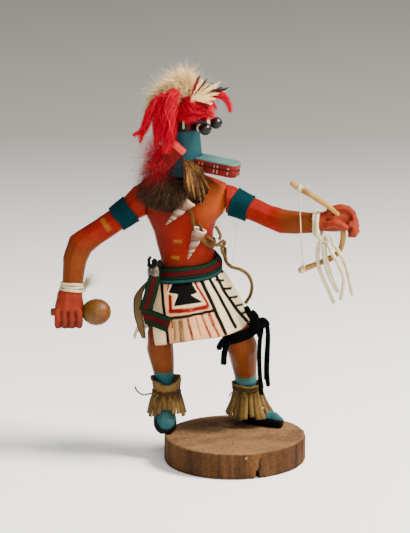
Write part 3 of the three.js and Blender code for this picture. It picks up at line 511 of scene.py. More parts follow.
# ---- the log slice -------------------------------------------------------------------
def log_slice():
    points, normals, faces = refined("base", 0.86, 2)
    x, y, z = points.T
    angle = np.arctan2(y, x)
    side = step(0.75, 0.35, np.abs(normals[:, 2]))
    flutes = np.sin(23 * angle + 2 * np.sin(5 * angle)) + 0.7 * np.sin(57 * angle + z * 0.05)
    points = points + normals * (side * (flutes * 0.16 + wobble(points, 9) * 0.3))[:, None]
    streaks = wobble(points * (1, 1, 0.14), 3.4) + 0.6 * wobble(points * (1, 1, 0.1) + 30, 1.5)
    bark = blend(COLOUR["log_side"], COLOUR["bark"],
                 step(-0.5, 1.5, streaks + flutes * 0.1) * 0.75)
    bark = blend(bark, COLOUR["bark"], step(0.2, 1.1, wobble(points * (1, 1, 0.3), 14)) * 0.45)
    top = blend(COLOUR["log_top"], COLOUR["log_grain"],
                step(-0.4, 1.0, wobble(points * (1, 1.6, 1), 13)) * 0.5)
    # darker patches round and between the feet, partly stain and partly a painted shadow of the
    # figure, and blotches of stain over the top
    stain_and_shadow = step(34, 4, np.hypot(x + 24, (y - 20) * 1.5) + 6 * wobble(points, 7)) * 0.7
    stain_and_shadow = np.maximum(stain_and_shadow, step(26, 4, np.hypot(x - 6, (y - 24) * 1.5)
                                   + 6 * wobble(points + 7, 6)) * 0.75)
    stain_and_shadow = np.maximum(stain_and_shadow, step(0.5, 1.3, wobble(points + 21, 11)) * 0.35)
    top = blend(top, COLOUR["bark"], stain_and_shadow)
    # a check split in from the rim, and hairline ones
    split = np.abs(np.sin(angle * 2.5 + 0.9 + 0.05 * wobble(points, 6))) * np.hypot(x, y)
    top = blend(top, COLOUR["bark"], step(0.8, 0.2, split) * 0.6 * step(14, 26, np.hypot(x, y)))
    paint = blend(top, bark, side)
    # painted shade: darker at the bottom edge, where the log meets the floor
    paint = blend(paint, COLOUR["bark"] * 0.5, step(3.2, 0, z) * 0.5)
    # a tall dark crack at the front and a tiny pale chip beside it
    edge = 0.35 + 1.0 * step(16, 1, z)
    crack = step(edge + 0.5, edge - 0.1, np.abs(x - 18.4 - 0.16 * (z - 9) - 0.3 * np.sin(z * 0.9)))
    paint = blend(paint, COLOUR["black"], crack * (y < -30) * step(17, 14, z) * 0.85)
    chip = np.hypot(x - 8.6, z - 16.4) + np.where(y < 0, 0, 99)
    paint = blend(paint, COLOUR["white"], step(0.8, 0.4, chip) * 0.7)
    build = Build()
    build.add(points, [faces], paint)
    build.piece("log", MATERIAL["log"], ["base"])


log_slice()


# ---- the carved and painted figure ---------------------------------------------------
def body_paint(p):
    x, y, z = p.T
    rough = wobble(p, 7)
    fine = wobble(p + 40, 2.6)
    paint = np.broadcast_to(COLOUR["orange"], p.shape)
    # painted shade: the figure's right side darker below the shoulders, where it turns away from
    # the light
    paint = blend(paint, COLOUR["deep"], step(-36, -56, x + 4 * rough) * step(205, 180, z) * 0.7)
    paint = blend(paint, COLOUR["umber"], step(170, 150, z + 4 * rough) * 0.45)
    paint = blend(paint, COLOUR["deep"], step(0.3, 1.4, fine) * 0.3)
    glow = step(-36, -14, x + 4 * rough) * step(172, 194, z + 4 * rough) * step(8, 0, y - 4)
    paint = blend(paint, COLOUR["sunlit"], glow * 0.9)
    # painted shade: darker towards the back
    back_of = step(16, 24, y)
    paint = blend(paint, COLOUR["deep"], back_of * 0.3)
    # dashes of ochre on the chest
    for middle_x, middle_z in ((-41.8, 168.9), (-44.0, 156.5), (-24.5, 172)):
        dash = np.maximum(np.abs(x - middle_x) / 2.9, np.abs(z - middle_z) / 1.1)
        paint = blend(paint, COLOUR["dash"], step(1.25, 0.85, dash + fine * 0.1) * (y < 6) * 0.9)
    # ochre legs below the red thighs
    knee = np.where(x < -28, 90, 104)
    shin = step(knee + 5, knee - 5, z + 3 * rough)
    legs = blend(COLOUR["ochre"], COLOUR["umber"], step(-0.4, 1.0, rough) * 0.6)
    legs = blend(legs, COLOUR["orange"], step(84, 104, z) * 0.3)
    # painted shade on the thighs under the kilt
    paint = blend(paint, COLOUR["deep"], step(128, 112, z) * 0.5)
    paint = blend(paint, legs, shin)
    # turquoise ankle bands and moccasins with black soles
    band = np.where(x < -28, 66.5, 60.5)
    shoe = blend(COLOUR["moccasin"], COLOUR["turquoise"], step(-0.8, 1.0, rough) * 0.8)
    paint = blend(paint, shoe, step(band + 0.5, band - 0.4, z + fine * 0.5))
    vamp = np.hypot((x + 51) / 6.9, (z - 32.4) / 8.2)
    sole = np.where(x < -28, step(0.92, 1.04, vamp) * step(41, 36, z),
                    step(28.4, 27.7, z + fine * 0.4 + 0.12 * (x - 22)))
    paint = blend(paint, COLOUR["sole"], sole)
    return paint


def arm_paint(p, hand, shade_lines):
    """hand is 0 on the arm and 1 past the wrist; the lines after it are where the fingers part,
    painted dark as the shade in the gaps.
    """
    rough = wobble(p, 7)
    x, y, z = p.T
    arm = blend(COLOUR["orange"], COLOUR["deep"], step(-0.3, 1.4, rough) * 0.35)
    if x.mean() < 0:
        arm = blend(arm, COLOUR["ochre"], step(178, 160, z + 3 * rough) * 0.85)
        dash = np.maximum(np.abs(0.58 * (x + 95.5) - 0.81 * (z - 181.6)) / 5.2,
                          np.abs(0.81 * (x + 95.5) + 0.58 * (z - 181.6)) / 1.7)
        arm = blend(arm, COLOUR["dash"], step(1.3, 0.7, dash + 0.15 * rough) * (y < 4) * 0.8)
    else:
        arm = blend(arm, COLOUR["ochre"], step(26, 44, x + 3 * rough) * 0.85)
    arm = blend(arm, COLOUR["deep"], step(0.2, 1.3, wobble(p + 40, 2.8)) * 0.3)
    skin = blend(COLOUR["hand"], COLOUR["deep"], step(-0.2, 1.2, rough) * 0.5)
    # painted shade: the fist darker towards its bottom and in the gaps between the fingers
    skin = blend(skin, COLOUR["hand_shade"], step(118, 102, z) * 0.45)
    near = np.min([distance(p, line) for line in shade_lines], 0)
    skin = blend(skin, COLOUR["hand_shade"], step(1.9, 0.6, near) * 0.9)
    return blend(arm, skin, hand)


# Where the fingers and the thumb part on each fist, painted dark as the shade in the gaps.
RIGHT_FINGER_SHADE = [[(x, -10.5, 117.5), (x, -11, 111), (x, -8, 104)]
                 for x in (-128.3, -122.9, -117.6)]
RIGHT_FINGER_SHADE.append([(-112.5, -8, 121), (-111.5, -4, 112), (-113, -3, 105)])
LEFT_FINGER_SHADE = [[(66.5, -18, 190), (72, -20.5, 192), (78, -20.5, 190.6), (83, -21.6, 187.6)],
                [(65, -17.6, 180), (72, -20.4, 181.6), (79, -21.5, 180.4)],
                [(84, -20, 196), (87, -20.4, 190), (86.6, -21, 184), (84, -20, 178)],
                [(90, -14, 192), (91, -14.6, 186), (89, -14.6, 179)]]


def carved(name, voxel, smoothing, paint_of, facets, material="paint", shoulder=None, grow_by=1,
           fist=None, shift=(0, 0, 0), fuller=None):
    """A CAD piece with the faint facets that a knife leaves; an arm's end is let into the
    shoulder, grow_by swells a piece about its middle, shift moves it, a fist is drawn in and
    fuller gives how many mm it is thicker, by place."""
    points, normals, faces = refined(name, voxel, smoothing)
    cuts = np.abs(wobble(points + 13, 8)) * facets
    paint = paint_of(points)
    if fuller:
        points = points + normals * fuller(*points.T)[:, None]
    points = points - normals * cuts[:, None]
    if shoulder is not None:
        inward = -1 if shoulder > -38 else 1
        points[:, 0] += inward * 1.6 * step(5, -2, (points[:, 0] - shoulder) * -inward)
    if fist:
        points += (np.array(fist) - points) * (0.1 * step(60, 66, points[:, 0]))[:, None]
    middle = points.mean(0)
    build = Build()
    build.add(middle + shift + (points - middle) * grow_by, [faces], paint)
    return build.piece(name + "_look", MATERIAL[material], [name])


def fuller_legs(x, _, z):
    """Thicker shins, the left more than the right, and a broader right foot."""
    left = 2.2 * step(100, 86, z) * step(46, 56, z)
    right = 0.8 * step(92, 78, z) * step(48, 56, z) + 1.3 * step(44, 39, z) * step(21, 26, z)
    return np.where(x > -28, left, right)


carved("body", 0.95, 3, body_paint, 0.35, fuller=fuller_legs)
carved("arm_right", 0.76, 2,
       lambda p: arm_paint(p, step(136, 131, p[:, 2]), RIGHT_FINGER_SHADE), 0.25, shoulder=-66,
       fuller=lambda x, y, z: 1.0 * step(184, 170, z) * step(126, 132, z))
carved("arm_left", 0.76, 2,
       lambda p: arm_paint(p, step(60, 64, p[:, 0]), LEFT_FINGER_SHADE), 0.25, shoulder=-6,
       fist=(76, -14, 186), fuller=lambda x, y, z: 0.8 * step(24, 34, x) * step(64, 60, x))

# ---- the mask ------------------------------------------------------------------------
# The mask stands on this axis and faces the figure's left, turned 19 degrees to the front.
AXIS = np.array([-38.0, 8.0])
FACING = math.radians(-19)


def head_places(p):
    """Places ahead of the mask's axis, to its left and up, and the angle from the front."""
    flat = p[:, :2] - AXIS
    ahead = flat @ (math.cos(FACING), math.sin(FACING))
    left = flat @ (-math.sin(FACING), math.cos(FACING))
    return ahead, left, p[:, 2], np.degrees(np.arctan2(left, ahead))


def mask_paint(p):
    _, _, z, angle = head_places(p)
    fine = wobble(p, 3)
    paint = blend(COLOUR["turquoise"], COLOUR["pale_teal"], step(0, 1.6, wobble(p, 9)) * 0.2)
    # painted shade: the mask darker at its bottom, under the ear and feathers, and on its side
    # away from the light
    paint = blend(paint, COLOUR["deep_teal"], step(233, 224, z + fine) * 0.9)
    paint = blend(paint, COLOUR["deep_teal"], step(-45, -100, angle) * 0.5)
    band = step(251.6, 252.3, z + fine * 0.2)
    paint = blend(paint, COLOUR["black"], band)
    for turn in (-68, 68):
        bar = np.maximum(np.abs(angle - turn) / 2.6, np.abs(z - 258) / 3.4)
        paint = blend(paint, COLOUR["white"], step(1.1, 0.9, bar))
    for turn in (-52, 52):
        bar = np.maximum(np.abs(angle - turn) / 7.0, np.abs(z - 257) / 4.0)
        paint = blend(paint, COLOUR["dark_red"], step(1.15, 0.8, bar) * 0.9)
    return paint


def eye_paint(p):
    ahead, left, _, _ = head_places(p)
    out = np.hypot(ahead, left)
    paint = blend(COLOUR["eye"], COLOUR["sash_red"], step(0.2, 1.4, wobble(p, 3)) * 0.25)
    pale = step(18.0, 18.5, out) * step(20.2, 19.6, out)
    return blend(paint, (COLOUR["salmon"] + COLOUR["white"]) * 0.75, pale)


def ear_paint(p):
    """Dark red with a lighter top end, a painted highlight where its top face catches the light.
    """
    ahead, _, z, _ = head_places(p)
    tilt = math.radians(38.5)
    along = (z - 236) * math.cos(tilt) + (ahead + 3.4) * math.sin(tilt)
    top = step(8.8, 9.6, along)
    paint = blend(COLOUR["mouth"], COLOUR["bright_mouth"], step(-0.6, 1.2, wobble(p, 4)) * 0.4)
    return blend(paint, COLOUR["ear_pink"], top)


carved("mask", 0.68, 2, mask_paint, 0.12, "mask")
for side in ("right", "left"):
    carved("eye_" + side, 0.4, 2, eye_paint, 0, "eye", grow_by=1.13)
    carved("ear_" + side, 0.5, 2, ear_paint, 0.1, "mask", shift=(-1.0, -0.6, -3.0))


def snout():
    """The long beak: turquoise above, red below, a groove for the mouth and white teeth."""
    points, normals, faces = refined("snout", 0.48, 2)
    ahead, left, z, _ = head_places(points)
    droop = math.radians(7.2)
    along = (ahead - 10.5) * math.cos(droop) - (z - 233.4) * math.sin(droop)
    height = (ahead - 10.5) * math.sin(droop) + (z - 233.4) * math.cos(droop)
    sideways = step(0.6, 0.25, np.abs(normals[:, 2]))
    groove = np.exp(-((height + 5.0) / 0.55) ** 2) * sideways * step(1, 4, along)
    points = points - normals * (groove * 0.8)[:, None]
    red = blend(COLOUR["mouth"], COLOUR["bright_mouth"], step(-0.4, 1.2, wobble(points, 5)) * 0.6)
    top = blend(COLOUR["turquoise"], COLOUR["pale_teal"], step(6, 22, along) * 0.55 + 0.4)
    paint = blend(red, top, step(-1.5, -0.9, height + wobble(points, 3) * 0.15))
    # painted shade: the mouth groove darkened as the shade inside the slit
    paint = blend(paint, COLOUR["black"], groove * 0.85)
    # how far round the outline, on past the corner to the blunt end
    corner = np.arctan2(np.abs(along - 28), np.maximum(8.5 - np.abs(left), 0) + 2)
    around = np.where(along < 28, along, 28 + 7 * corner)
    for place in (5.4, 8.0, 17.2, 19.8, 27.8, 30.2, 35.6):
        for low, high in ((-4.8, -2.8), (-8.6, -6.4)):
            tick = np.maximum(np.abs(around - place) / 0.34,
                              np.abs(height - (low + high) / 2) * 2 / (high - low))
            paint = blend(paint, COLOUR["white"], step(1.2, 0.8, tick) * sideways * 0.6)
    build = Build()
    build.add(points, [faces], paint)
    build.piece("snout_look", MATERIAL["mask"], ["snout"])


snout()


# ---- what the hands hold -------------------------------------------------------------
def rattle_paint(p):
    x = p[:, 0]
    paint = blend(COLOUR["gourd"], COLOUR["gourd_red"], step(-106, -92, x) * 0.5)
    paint = blend(paint, COLOUR["umber"], step(0.4, 1.5, wobble(p, 5)) * 0.5)
    return blend(paint, COLOUR["ochre"], step(-110, -113, x) * 0.7)


carved("rattle", 0.55, 8, rattle_paint, 0.05, "gourd",
       fuller=lambda x, y, z: 1.5 * step(-115, -110, x))

# The middle line of the bent stick, from its upper tip.
BOW = [(40.9, -17, 217.1), (47.5, -17, 212.6), (56.3, -17, 207.4), (65.8, -16.4, 200.9),
       (74.6, -15.6, 193.6), (78.2, -15, 187), (79.2, -15, 180.3), (79.3, -15, 174.4),
       (77.2, -15.5, 166.1), (72.1, -16, 161.2), (66.2, -16.5, 158.3), (59.4, -17, 155.6),
       (46.8, -17, 150.6)]


def bow():
    line = path(BOW, 0.6)
    swell = 2.0 + 0.12 * np.sin(np.arange(len(line)) * 0.21) + 0.1 * wobble(line, 6)
    swell *= 1 - 0.12 * step(5, 0, np.arange(len(line)))
    swell *= 1 - 0.12 * step(len(line) - 5, len(line), np.arange(len(line)))
    tone = blend(COLOUR["peeled"], COLOUR["peeled_dark"], step(-0.2, 1.3, wobble(line, 9)) * 0.6)
    knot = step(0.8, 1, np.sin(np.arange(len(line)) * 0.055 + 0.6))
    build = Build()
    add_tube(build, line, swell + knot * 0.25, blend(tone, COLOUR["umber"], knot * 0.4), 12)
    build.piece("bow_look", MATERIAL["peeled"], ["bow"])


bow()


# ---- floor and light -----------------------------------------------------------------
def studio():
    """A pale seamless paper floor, painted nearly white at the doll and grey 1.35 m behind it: a
    painted fall-off of the light.
    """
    mesh = bpy.data.meshes.new("sweep")
    mesh.from_pydata([(-8, -4, 0), (8, -4, 0), (8, 12, 0), (-8, 12, 0)], [], [(0, 1, 2, 3)])
    floor = bpy.data.objects.new("sweep", mesh)
    bpy.context.scene.collection.objects.link(floor)
    material = bpy.data.materials.new("paper_sweep")
    material.use_nodes = True
    tree = material.node_tree
    shader = tree.nodes["Principled BSDF"]
    shader.inputs["Roughness"].default_value = 0.9
    shader.inputs["Specular IOR Level"].default_value = 0.15
    place = node(tree, "ShaderNodeTexCoord").outputs["Object"]
    # the colour darkens with depth behind the doll, a painted fall-off of the light
    depth = node(tree, "ShaderNodeSeparateXYZ", {"Vector": place}).outputs["Y"]
    share = node(tree, "ShaderNodeMapRange", {"Value": depth, "From Min": 0.0, "From Max": 1.35,
                                              "To Min": 0.0, "To Max": 1.0},
                 interpolation_type="SMOOTHSTEP").outputs[0]
    grain = node(tree, "ShaderNodeTexNoise", {"Vector": place,
                                              "Scale": 1 / (500 * MM)}).outputs["Fac"]
    share = node(tree, "ShaderNodeMath", {0: grain, 1: 0.04, 2: share},
                 operation="MULTIPLY_ADD").outputs[0]
    tone = node(tree, "ShaderNodeMix", {0: share, 6: (*linear("#f8f8f6"), 1),
                                        7: (*linear("#8e8d89"), 1)}, data_type="RGBA").outputs[2]
    tree.links.new(tone, shader.inputs["Base Color"])
    mesh.materials.append(material)


def lamp(name, place, aim, size, power, colour):
    """A soft square lamp, size in m and power in W, that looks at aim."""
    light = bpy.data.lights.new(name, "AREA")
    light.size, light.energy, light.color = size, power, colour
    made = bpy.data.objects.new(name, light)
    made.location = place
    made.rotation_mode = "QUATERNION"
    made.rotation_quaternion = (Vector(place) - Vector(aim)).to_track_quat("Z", "Y")
    bpy.context.scene.collection.objects.link(made)


studio()
lamp("key", (1.5, -0.35, 1.9), (0, 0, 0.12), 0.8, 205, (1, 0.95, 0.88))
lamp("front", (0.3, -2.2, 1.6), (0, 0, 0.12), 1.8, 60, (1, 0.98, 0.95))
world = bpy.data.worlds.new("soft_room")
bpy.context.scene.world = world
world.use_nodes = True
world.node_tree.nodes["Background"].inputs["Color"].default_value = (0.93, 0.93, 0.92, 1)
world.node_tree.nodes["Background"].inputs["Strength"].default_value = 0.45

# ---- kilt and sash -------------------------------------------------------------------
# Height, middle in x, half width and half depth.
TORSO = np.array([(124, -35, 15, 10), (130, -34.5, 20.5, 13.2), (140, -33.8, 21, 13.8),
                  (151, -33.8, 20.6, 13.2), (162, -36.3, 20.9, 12.4), (174, -37.7, 22.3, 12.8),
                  (182, -38.4, 25.2, 13.6), (188, -37, 29.5, 14), (196, -36.2, 32, 14),
                  (204, -36, 33, 12.8), (210, -36, 31, 10.8), (214, -36.5, 22, 9.4)])


def outside_torso(angle, z, room):
    """Points outside the torso's squarish oval at an angle and height."""
    x, half_width, half_depth = (np.interp(z, TORSO[:, 0], TORSO[:, i]) for i in (1, 2, 3))
    c, s = np.cos(angle), np.sin(angle)
    power = 2 / 2.3
    return np.stack([x + (half_width + room) * np.sign(c) * np.abs(c) ** power,
                     12 + (half_depth + room) * np.sign(s) * np.abs(s) ** power,
                     np.broadcast_to(z, c.shape)], -1)


def sash_top(angle):
    return 153.3 + 3.6 * np.cos(angle) + 3 * np.sin(angle)


def inside(places, outline):
    """Which flat places are inside an outline."""
    x, z = places[..., 0], places[..., 1]
    within = np.zeros(x.shape, bool)
    for (ax, az), (bx, bz) in zip(outline, outline[1:] + outline[:1]):
        if az != bz:
            within ^= ((az > z) != (bz > z)) & (x < ax + (z - az) * (bx - ax) / (bz - az))
    return within


# Painted shapes on the kilt's front, by x and height: the two steps of the black block, the
# long stripes with their half widths, the short dashes, and the streaks below the panel with
# half width, colour and strength.
STEP_TOP = [(-44.9, 138.5), (-32.6, 139.5), (-27.4, 131.7), (-32.8, 129.9), (-41.4, 130.0),
            (-48.7, 130.6)]
STEP_LOW = [(-41.6, 130.4), (-32.6, 130.2), (-23.7, 125.1), (-44.8, 121.5)]
STRIPES = [([(-25.3, 141.5), (-15.9, 121.8), (-6.6, 101.5)], 1.35),
           ([(-21.6, 146), (-9.9, 125.4), (0.7, 105)], 1.15),
           ([(-15.8, 146.5), (-8.8, 132.8), (0.5, 118.3), (9.6, 106)], 1.05),
           ([(-54.1, 138), (-51.8, 116.2), (-48.6, 94)], 1.15),
           ([(-51.5, 111.9), (-47.4, 112.9), (-15.9, 118.7)], 1.15)]
DASHES = [(-9.2, 143.4), (-11.2, 138.7), (-5.6, 132.2), (-1.1, 125.5), (3.6, 118.8), (7.3, 112.5)]
FRINGE = [([(-46.4, 111.6), (-45.8, 106.3)], 0.5, "dark_red", 0.7),
          ([(-44.2, 110.5), (-44.0, 97.8)], 0.5, "kilt_back", 0.5),
          ([(-40.4, 111.3), (-39.3, 97)], 0.9, "kilt_back", 0.6),
          ([(-38.9, 112.3), (-37.3, 96.8)], 0.35, "thong", 0.6),
          ([(-34.4, 112.8), (-30.8, 97.9)], 0.85, "dark_red", 0.85),
          ([(-28.6, 113.9), (-24.8, 101.4)], 0.5, "salmon", 0.9),
          ([(-24.1, 115.2), (-17.8, 100.2)], 0.75, "red", 0.9),
          ([(-18.5, 116.0), (-15.6, 108.9)], 1.1, "red", 0.95),
          ([(-15.6, 108.9), (-11.9, 100.8)], 0.75, "red", 0.9)]


def kilt_paint(grid, angle, fall):
    """The painted front: stepped black block, red bands, black stripes and a shaded hem."""
    flat = np.stack([grid[..., 0], grid[..., 2]], -1)
    x, z = flat[..., 0], flat[..., 1]
    rough = wobble(grid, 4)[..., None] * 0.16
    spot = flat + rough
    front = step(8, -8, np.degrees(angle)) * (angle < math.pi / 2)
    paint = blend(COLOUR["kilt"], COLOUR["kilt_tan"], step(-20, -50, x) * 0.35 * front)
    right_of = x - np.interp(z, [101.5, 121.8, 141.5], [-6.6, -15.9, -25.3])
    left_of = x - np.interp(z, [94, 116.2, 138], [-48.6, -51.8, -54.1])
    panel = (right_of < 0) & (left_of > 0) & (front > 0.5)
    paint = blend(paint, COLOUR["kilt_pink"], panel * 0.75)
    below = panel & (z < 112.9 + (x + 47.4) * 0.184)
    tan = blend(COLOUR["kilt_tan"], COLOUR["kilt_pink"], step(-44, -26, x))
    paint = blend(paint, tan, below * 0.85)
    for line, half, colour, share in FRINGE:
        paint = blend(paint, COLOUR[colour], step(half + 0.4, half - 0.1, distance(spot, line))
                      * below * np.minimum(share * 1.8, 1) * (0.85 + 0.15 * wobble(grid, 2)))
    red = [([(-47.7, 128.4), (-47.1, 118)], 1.3),
           ([(-47.2, 117.8), (-33, 119.4), (-20.4, 121.4)], 1.6),
           ([(-29.2, 138.5), (-26.0, 133.3), (-24.4, 130.6), (-21.1, 125.6), (-19.6, 122.1)],
            0.85),
           ([(-48.4, 137.5), (-49.4, 132.2)], 0.5)]
    for line, half in red:
        streak = blend(COLOUR["red"], COLOUR["salmon"], step(0.1, 1.3, wobble(grid, 2.6)) * 0.6)
        paint = blend(paint, streak, step(half + 0.3, half - 0.3, distance(spot, line)) * front)
    # the black block, with a bare margin left round it
    blocks = [(inside(spot, outline), distance(spot, outline + outline[:1]))
              for outline in (STEP_TOP, STEP_LOW)]
    for filled, edge in blocks:
        margin = step(1.35, 0.95, np.where(filled, 0, edge)) * front
        paint = blend(paint, COLOUR["kilt"], margin * 0.9)
    for filled, edge in blocks:
        paint = blend(paint, COLOUR["black"], np.where(filled, 1, step(0.3, 0.0, edge)) * front)
    for line, half in STRIPES:
        paint = blend(paint, COLOUR["black"], step(half + 0.25, half - 0.25, distance(spot, line))
                      * front)
    for dash_x, dash_z in DASHES:
        dash = distance(spot, [(dash_x - 2.4, dash_z + 0.7), (dash_x + 2.6, dash_z - 0.5)])
        paint = blend(paint, COLOUR["black"], step(1.05, 0.6, dash) * front)
    # plainer stripes round the back
    turn = np.degrees(angle)
    for middle in (40, 60, 120, 140):
        paint = blend(paint, COLOUR["black"], step(2.3, 1.6, np.abs(turn - middle)))
    paint = blend(paint, COLOUR["kilt_back"], step(0.96, 1.0, fall) * 0.35)
    return paint * (1 + 0.03 * wobble(grid, 5)[..., None])


def kilt():
    along = np.concatenate([np.linspace(0, 0.5, 196, endpoint=False), np.linspace(0.5, 1, 50)])
    u, row = np.meshgrid(along, np.linspace(0, 1, 88))
    fall = row ** 1.37
    start = -165 + 38 * fall
    angle = np.radians(start + (184 - start) * u)
    c, s = np.cos(angle), np.sin(angle)
    rise = np.where(c < 0, (6 - 3 * s) * c, 3.5 * c + 4.5 * c ** 4)
    waist = outside_torso(angle, np.full(angle.shape, 149.9), 1.15)
    flare = np.maximum(0, (fall - 0.15) / 0.85) ** 0.74
    ripple = 0.6 * flare * np.sin(angle * 11 + 1) + 0.5 * flare * np.sin(angle * 5)
    hem = np.stack([-31.6 + (43.4 + ripple) * c, 12 + (30 + ripple) * s], -1)
    flat = waist[..., :2] + (hem - waist[..., :2]) * flare[..., None]
    top = sash_top(angle) - 3.4
    z = top + (97.8 + rise - top) * fall
    grid = np.concatenate([flat, z[..., None]], -1)
    grid[..., 2] += 0.25 * wobble(grid, 5) * fall
    build = Build()
    add_sheet(build, grid, 0.8, kilt_paint(grid, angle, fall))
    made = build.piece("kilt_look", MATERIAL["leather"], ["kilt"])


kilt()

# Stripes of the sash: mm from its top edge to the end of each, and its colour.
BAND = [(0.8, "black"), (2.8, "green"), (3.1, "black"), (6.3, "sash_red"), (6.9, "black"),
        (8.4, "green"), (9.2, "black"), (11.2, "band_teal"), (12.0, "black")]


def band_paint(place, bands):
    """Colours across a woven band, place in mm from its edge."""
    paint = np.broadcast_to(COLOUR[bands[0][1]], place.shape + (3,))
    for (edge, _), (_, colour) in zip(bands, bands[1:]):
        paint = blend(paint, COLOUR[colour], step(edge - 0.12, edge + 0.12, place))
    return paint


def sash():
    """A woven band that hugs the waist at its top edge and lies over the kilt below."""
    across = np.linspace(0, 12, 32)
    angle = np.linspace(0, 2 * math.pi, 180, endpoint=False)
    turn, drop = np.meshgrid(angle, across)
    z = sash_top(turn) - drop + 0.25 * np.sin(turn * 3 + 1)
    tight = outside_torso(turn, z, 1.0)
    over = outside_torso(turn, np.full(turn.shape, 148.1),
                         3.5 + 0.35 * np.sin(math.pi * drop / 12) + 0.03 * np.sin(drop * 9))
    grid = tight + (over - tight) * step(-1, 7, drop)[..., None]
    grid[..., 2] = z
    build = Build()
    add_sheet(build, grid, 1.0, band_paint(drop + 0.12 * wobble(grid, 3), BAND), closed=True)
    made = build.piece("sash_look", MATERIAL["woven"], ["sash"])


sash()

# Stripes of the sash's tail, as shares of its width.
TAIL_BAND = [(0.08, "black"), (0.28, "green"), (0.34, "black"), (0.68, "sash_red"),
             (0.74, "black"), (0.93, "green"), (1.1, "black")]


def ribbon(build, left, right, bands, thickness=0.8, wave=0.3):
    """A woven ribbon between two edges, its stripes running along it."""
    edge_a, edge_b = path(left, 0.6), path(right, 0.6)
    count = min(len(edge_a), len(edge_b))
    edge_a = edge_a[np.linspace(0, len(edge_a) - 1, count).astype(int)]
    edge_b = edge_b[np.linspace(0, len(edge_b) - 1, count).astype(int)]
    share = np.linspace(0, 1, 26)
    grid = edge_a[:, None] + (edge_b - edge_a)[:, None] * share[None, :, None]
    grid[..., 1] += wave * np.sin(np.linspace(0, 5, count))[:, None] - 0.3 * np.sin(
        share * math.pi)[None]
    add_sheet(build, grid, thickness, band_paint(np.broadcast_to(share, grid.shape[:2])
                                                 + 0.012 * wobble(grid, 2), bands))


def sash_tails():
    build = Build()
    ribbon(build, [(-58.6, 2, 148), (-64, -7.6, 142.6), (-67, -9, 131), (-70.6, -9.2, 119.6)],
           [(-54, -2.6, 147.4), (-55, -8.6, 141.6), (-57.6, -9.8, 130), (-61.6, -10.6, 117.6)],
           TAIL_BAND)
    ribbon(build, [(-69.8, -9.6, 121.8), (-58, -12.4, 118.6), (-46.4, -14.8, 114.8)],
           [(-66, -10.8, 108.6), (-57, -13.2, 106), (-49.8, -15.6, 103.6)], TAIL_BAND)
    made = build.piece("sash_tail_look", MATERIAL["woven"], ["sash_tail"])
    build = Build()
    ribbon(build, [(-63, -3, 141), (-70.6, -3, 133), (-74.6, -3, 126), (-74.6, -3, 114),
                   (-72, -3, 104), (-69, -3.4, 96)],
           [(-60, 0, 141), (-66, 0, 134), (-68.6, -0.6, 126), (-68.6, -1, 114), (-66.8, -1.6, 104),
            (-65.8, -2.4, 95)],
           [(0.1, "black"), (0.9, "kilt_back"), (1.1, "black")], 0.7, 0.1)
    build.piece("sash_tail_back_look", MATERIAL["woven"], ["sash_tail_back"])


sash_tails()


def concho():
    """A mottled disc tied on at the hip, with a black knot over it."""
    middle, away = np.array([-60.2, -5, 146.4]), unit(np.array([-0.42, -0.9, 0.06]))
    across = unit(np.cross((0, 0, 1), away))
    over = np.cross(away, across)
    ring = np.linspace(0, 1, 15)
    angle = np.linspace(0, 2 * math.pi, 56, endpoint=False)
    r, a = np.meshgrid(ring, angle, indexing="ij")
    dome = 1.5 * (1 - r ** 2.4) + 0.18 * np.sin(a * 5 + r * 7)
    points = (middle + (r * 4.7 * np.cos(a))[..., None] * across
              + (r * 6.4 * np.sin(a))[..., None] * over + (dome - 0.4)[..., None] * away)
    spots = step(0.15, 0.6, wobble(points, 1.6)) * 0.7
    paint = blend(COLOUR["disc"], COLOUR["disc_spot"], spots)
    paint = blend(paint, COLOUR["shell"], step(0.3, 1.0, wobble(points + 9, 3)) * 0.4)
    build = Build()
    add_sheet(build, points, 0.5, paint, closed=True)
    build.piece("concho_look", MATERIAL["disc"], ["concho"])
    build = Build()
    for route, thick in (([(-61.4, -5.4, 151.4), (-63, -6.4, 153.6), (-63.2, -6.4, 156.6),
                           (-61.8, -5.4, 158.8)], 1.5),
                         ([(-59.8, -5.6, 151.6), (-58.8, -6.6, 154.6), (-60.2, -5.4, 156.2)], 2.6),
                         ([(-64, -5.2, 152.4), (-61, -7.4, 151.8), (-57.8, -6, 152.8)], 2.2),
                         ([(-56.8, -4.4, 152), (-55.8, -3.4, 154), (-55.6, -2, 155.2)], 1.3),
                         ([(-61, -5, 151.6), (-58.8, -1.6, 151.4), (-56.4, 2.6, 150.6),
                           (-54.4, 6, 149)], 2.0),
                         ([(-60, -4, 143), (-58, 0, 144), (-56.4, 3.6, 146)], 1.8)):
        line = path(route, 0.4)
        swell = thick * (0.6 + 0.25 * np.sin(np.linspace(0.4, 2.9, len(line))))
        add_tube(build, line, swell + 0.12 * wobble(line, 2), COLOUR["black"], 9, 0.8)
    build.piece("hip_knot", MATERIAL["suede"])


concho()

# ---- bands, wraps and yarn -----------------------------------------------------------
# The upper arms' middle lines where the bands sit, from the shoulder down.
ARM_RIGHT = [(-75, 11, 192.6), (-82, 10, 187.4), (-90, 9, 182)]
ARM_LEFT = [(-0.6, 11, 196.6), (5.4, 9.2, 194.2), (13.4, 7, 191.2)]


def square_to(axis):
    """An axis one long, and two directions square to it and to each other."""
    axis = unit(np.asarray(axis, float))
    across = unit(np.cross(axis, (0.1, 0.95, 0.2)))
    return axis, across, np.cross(axis, across)


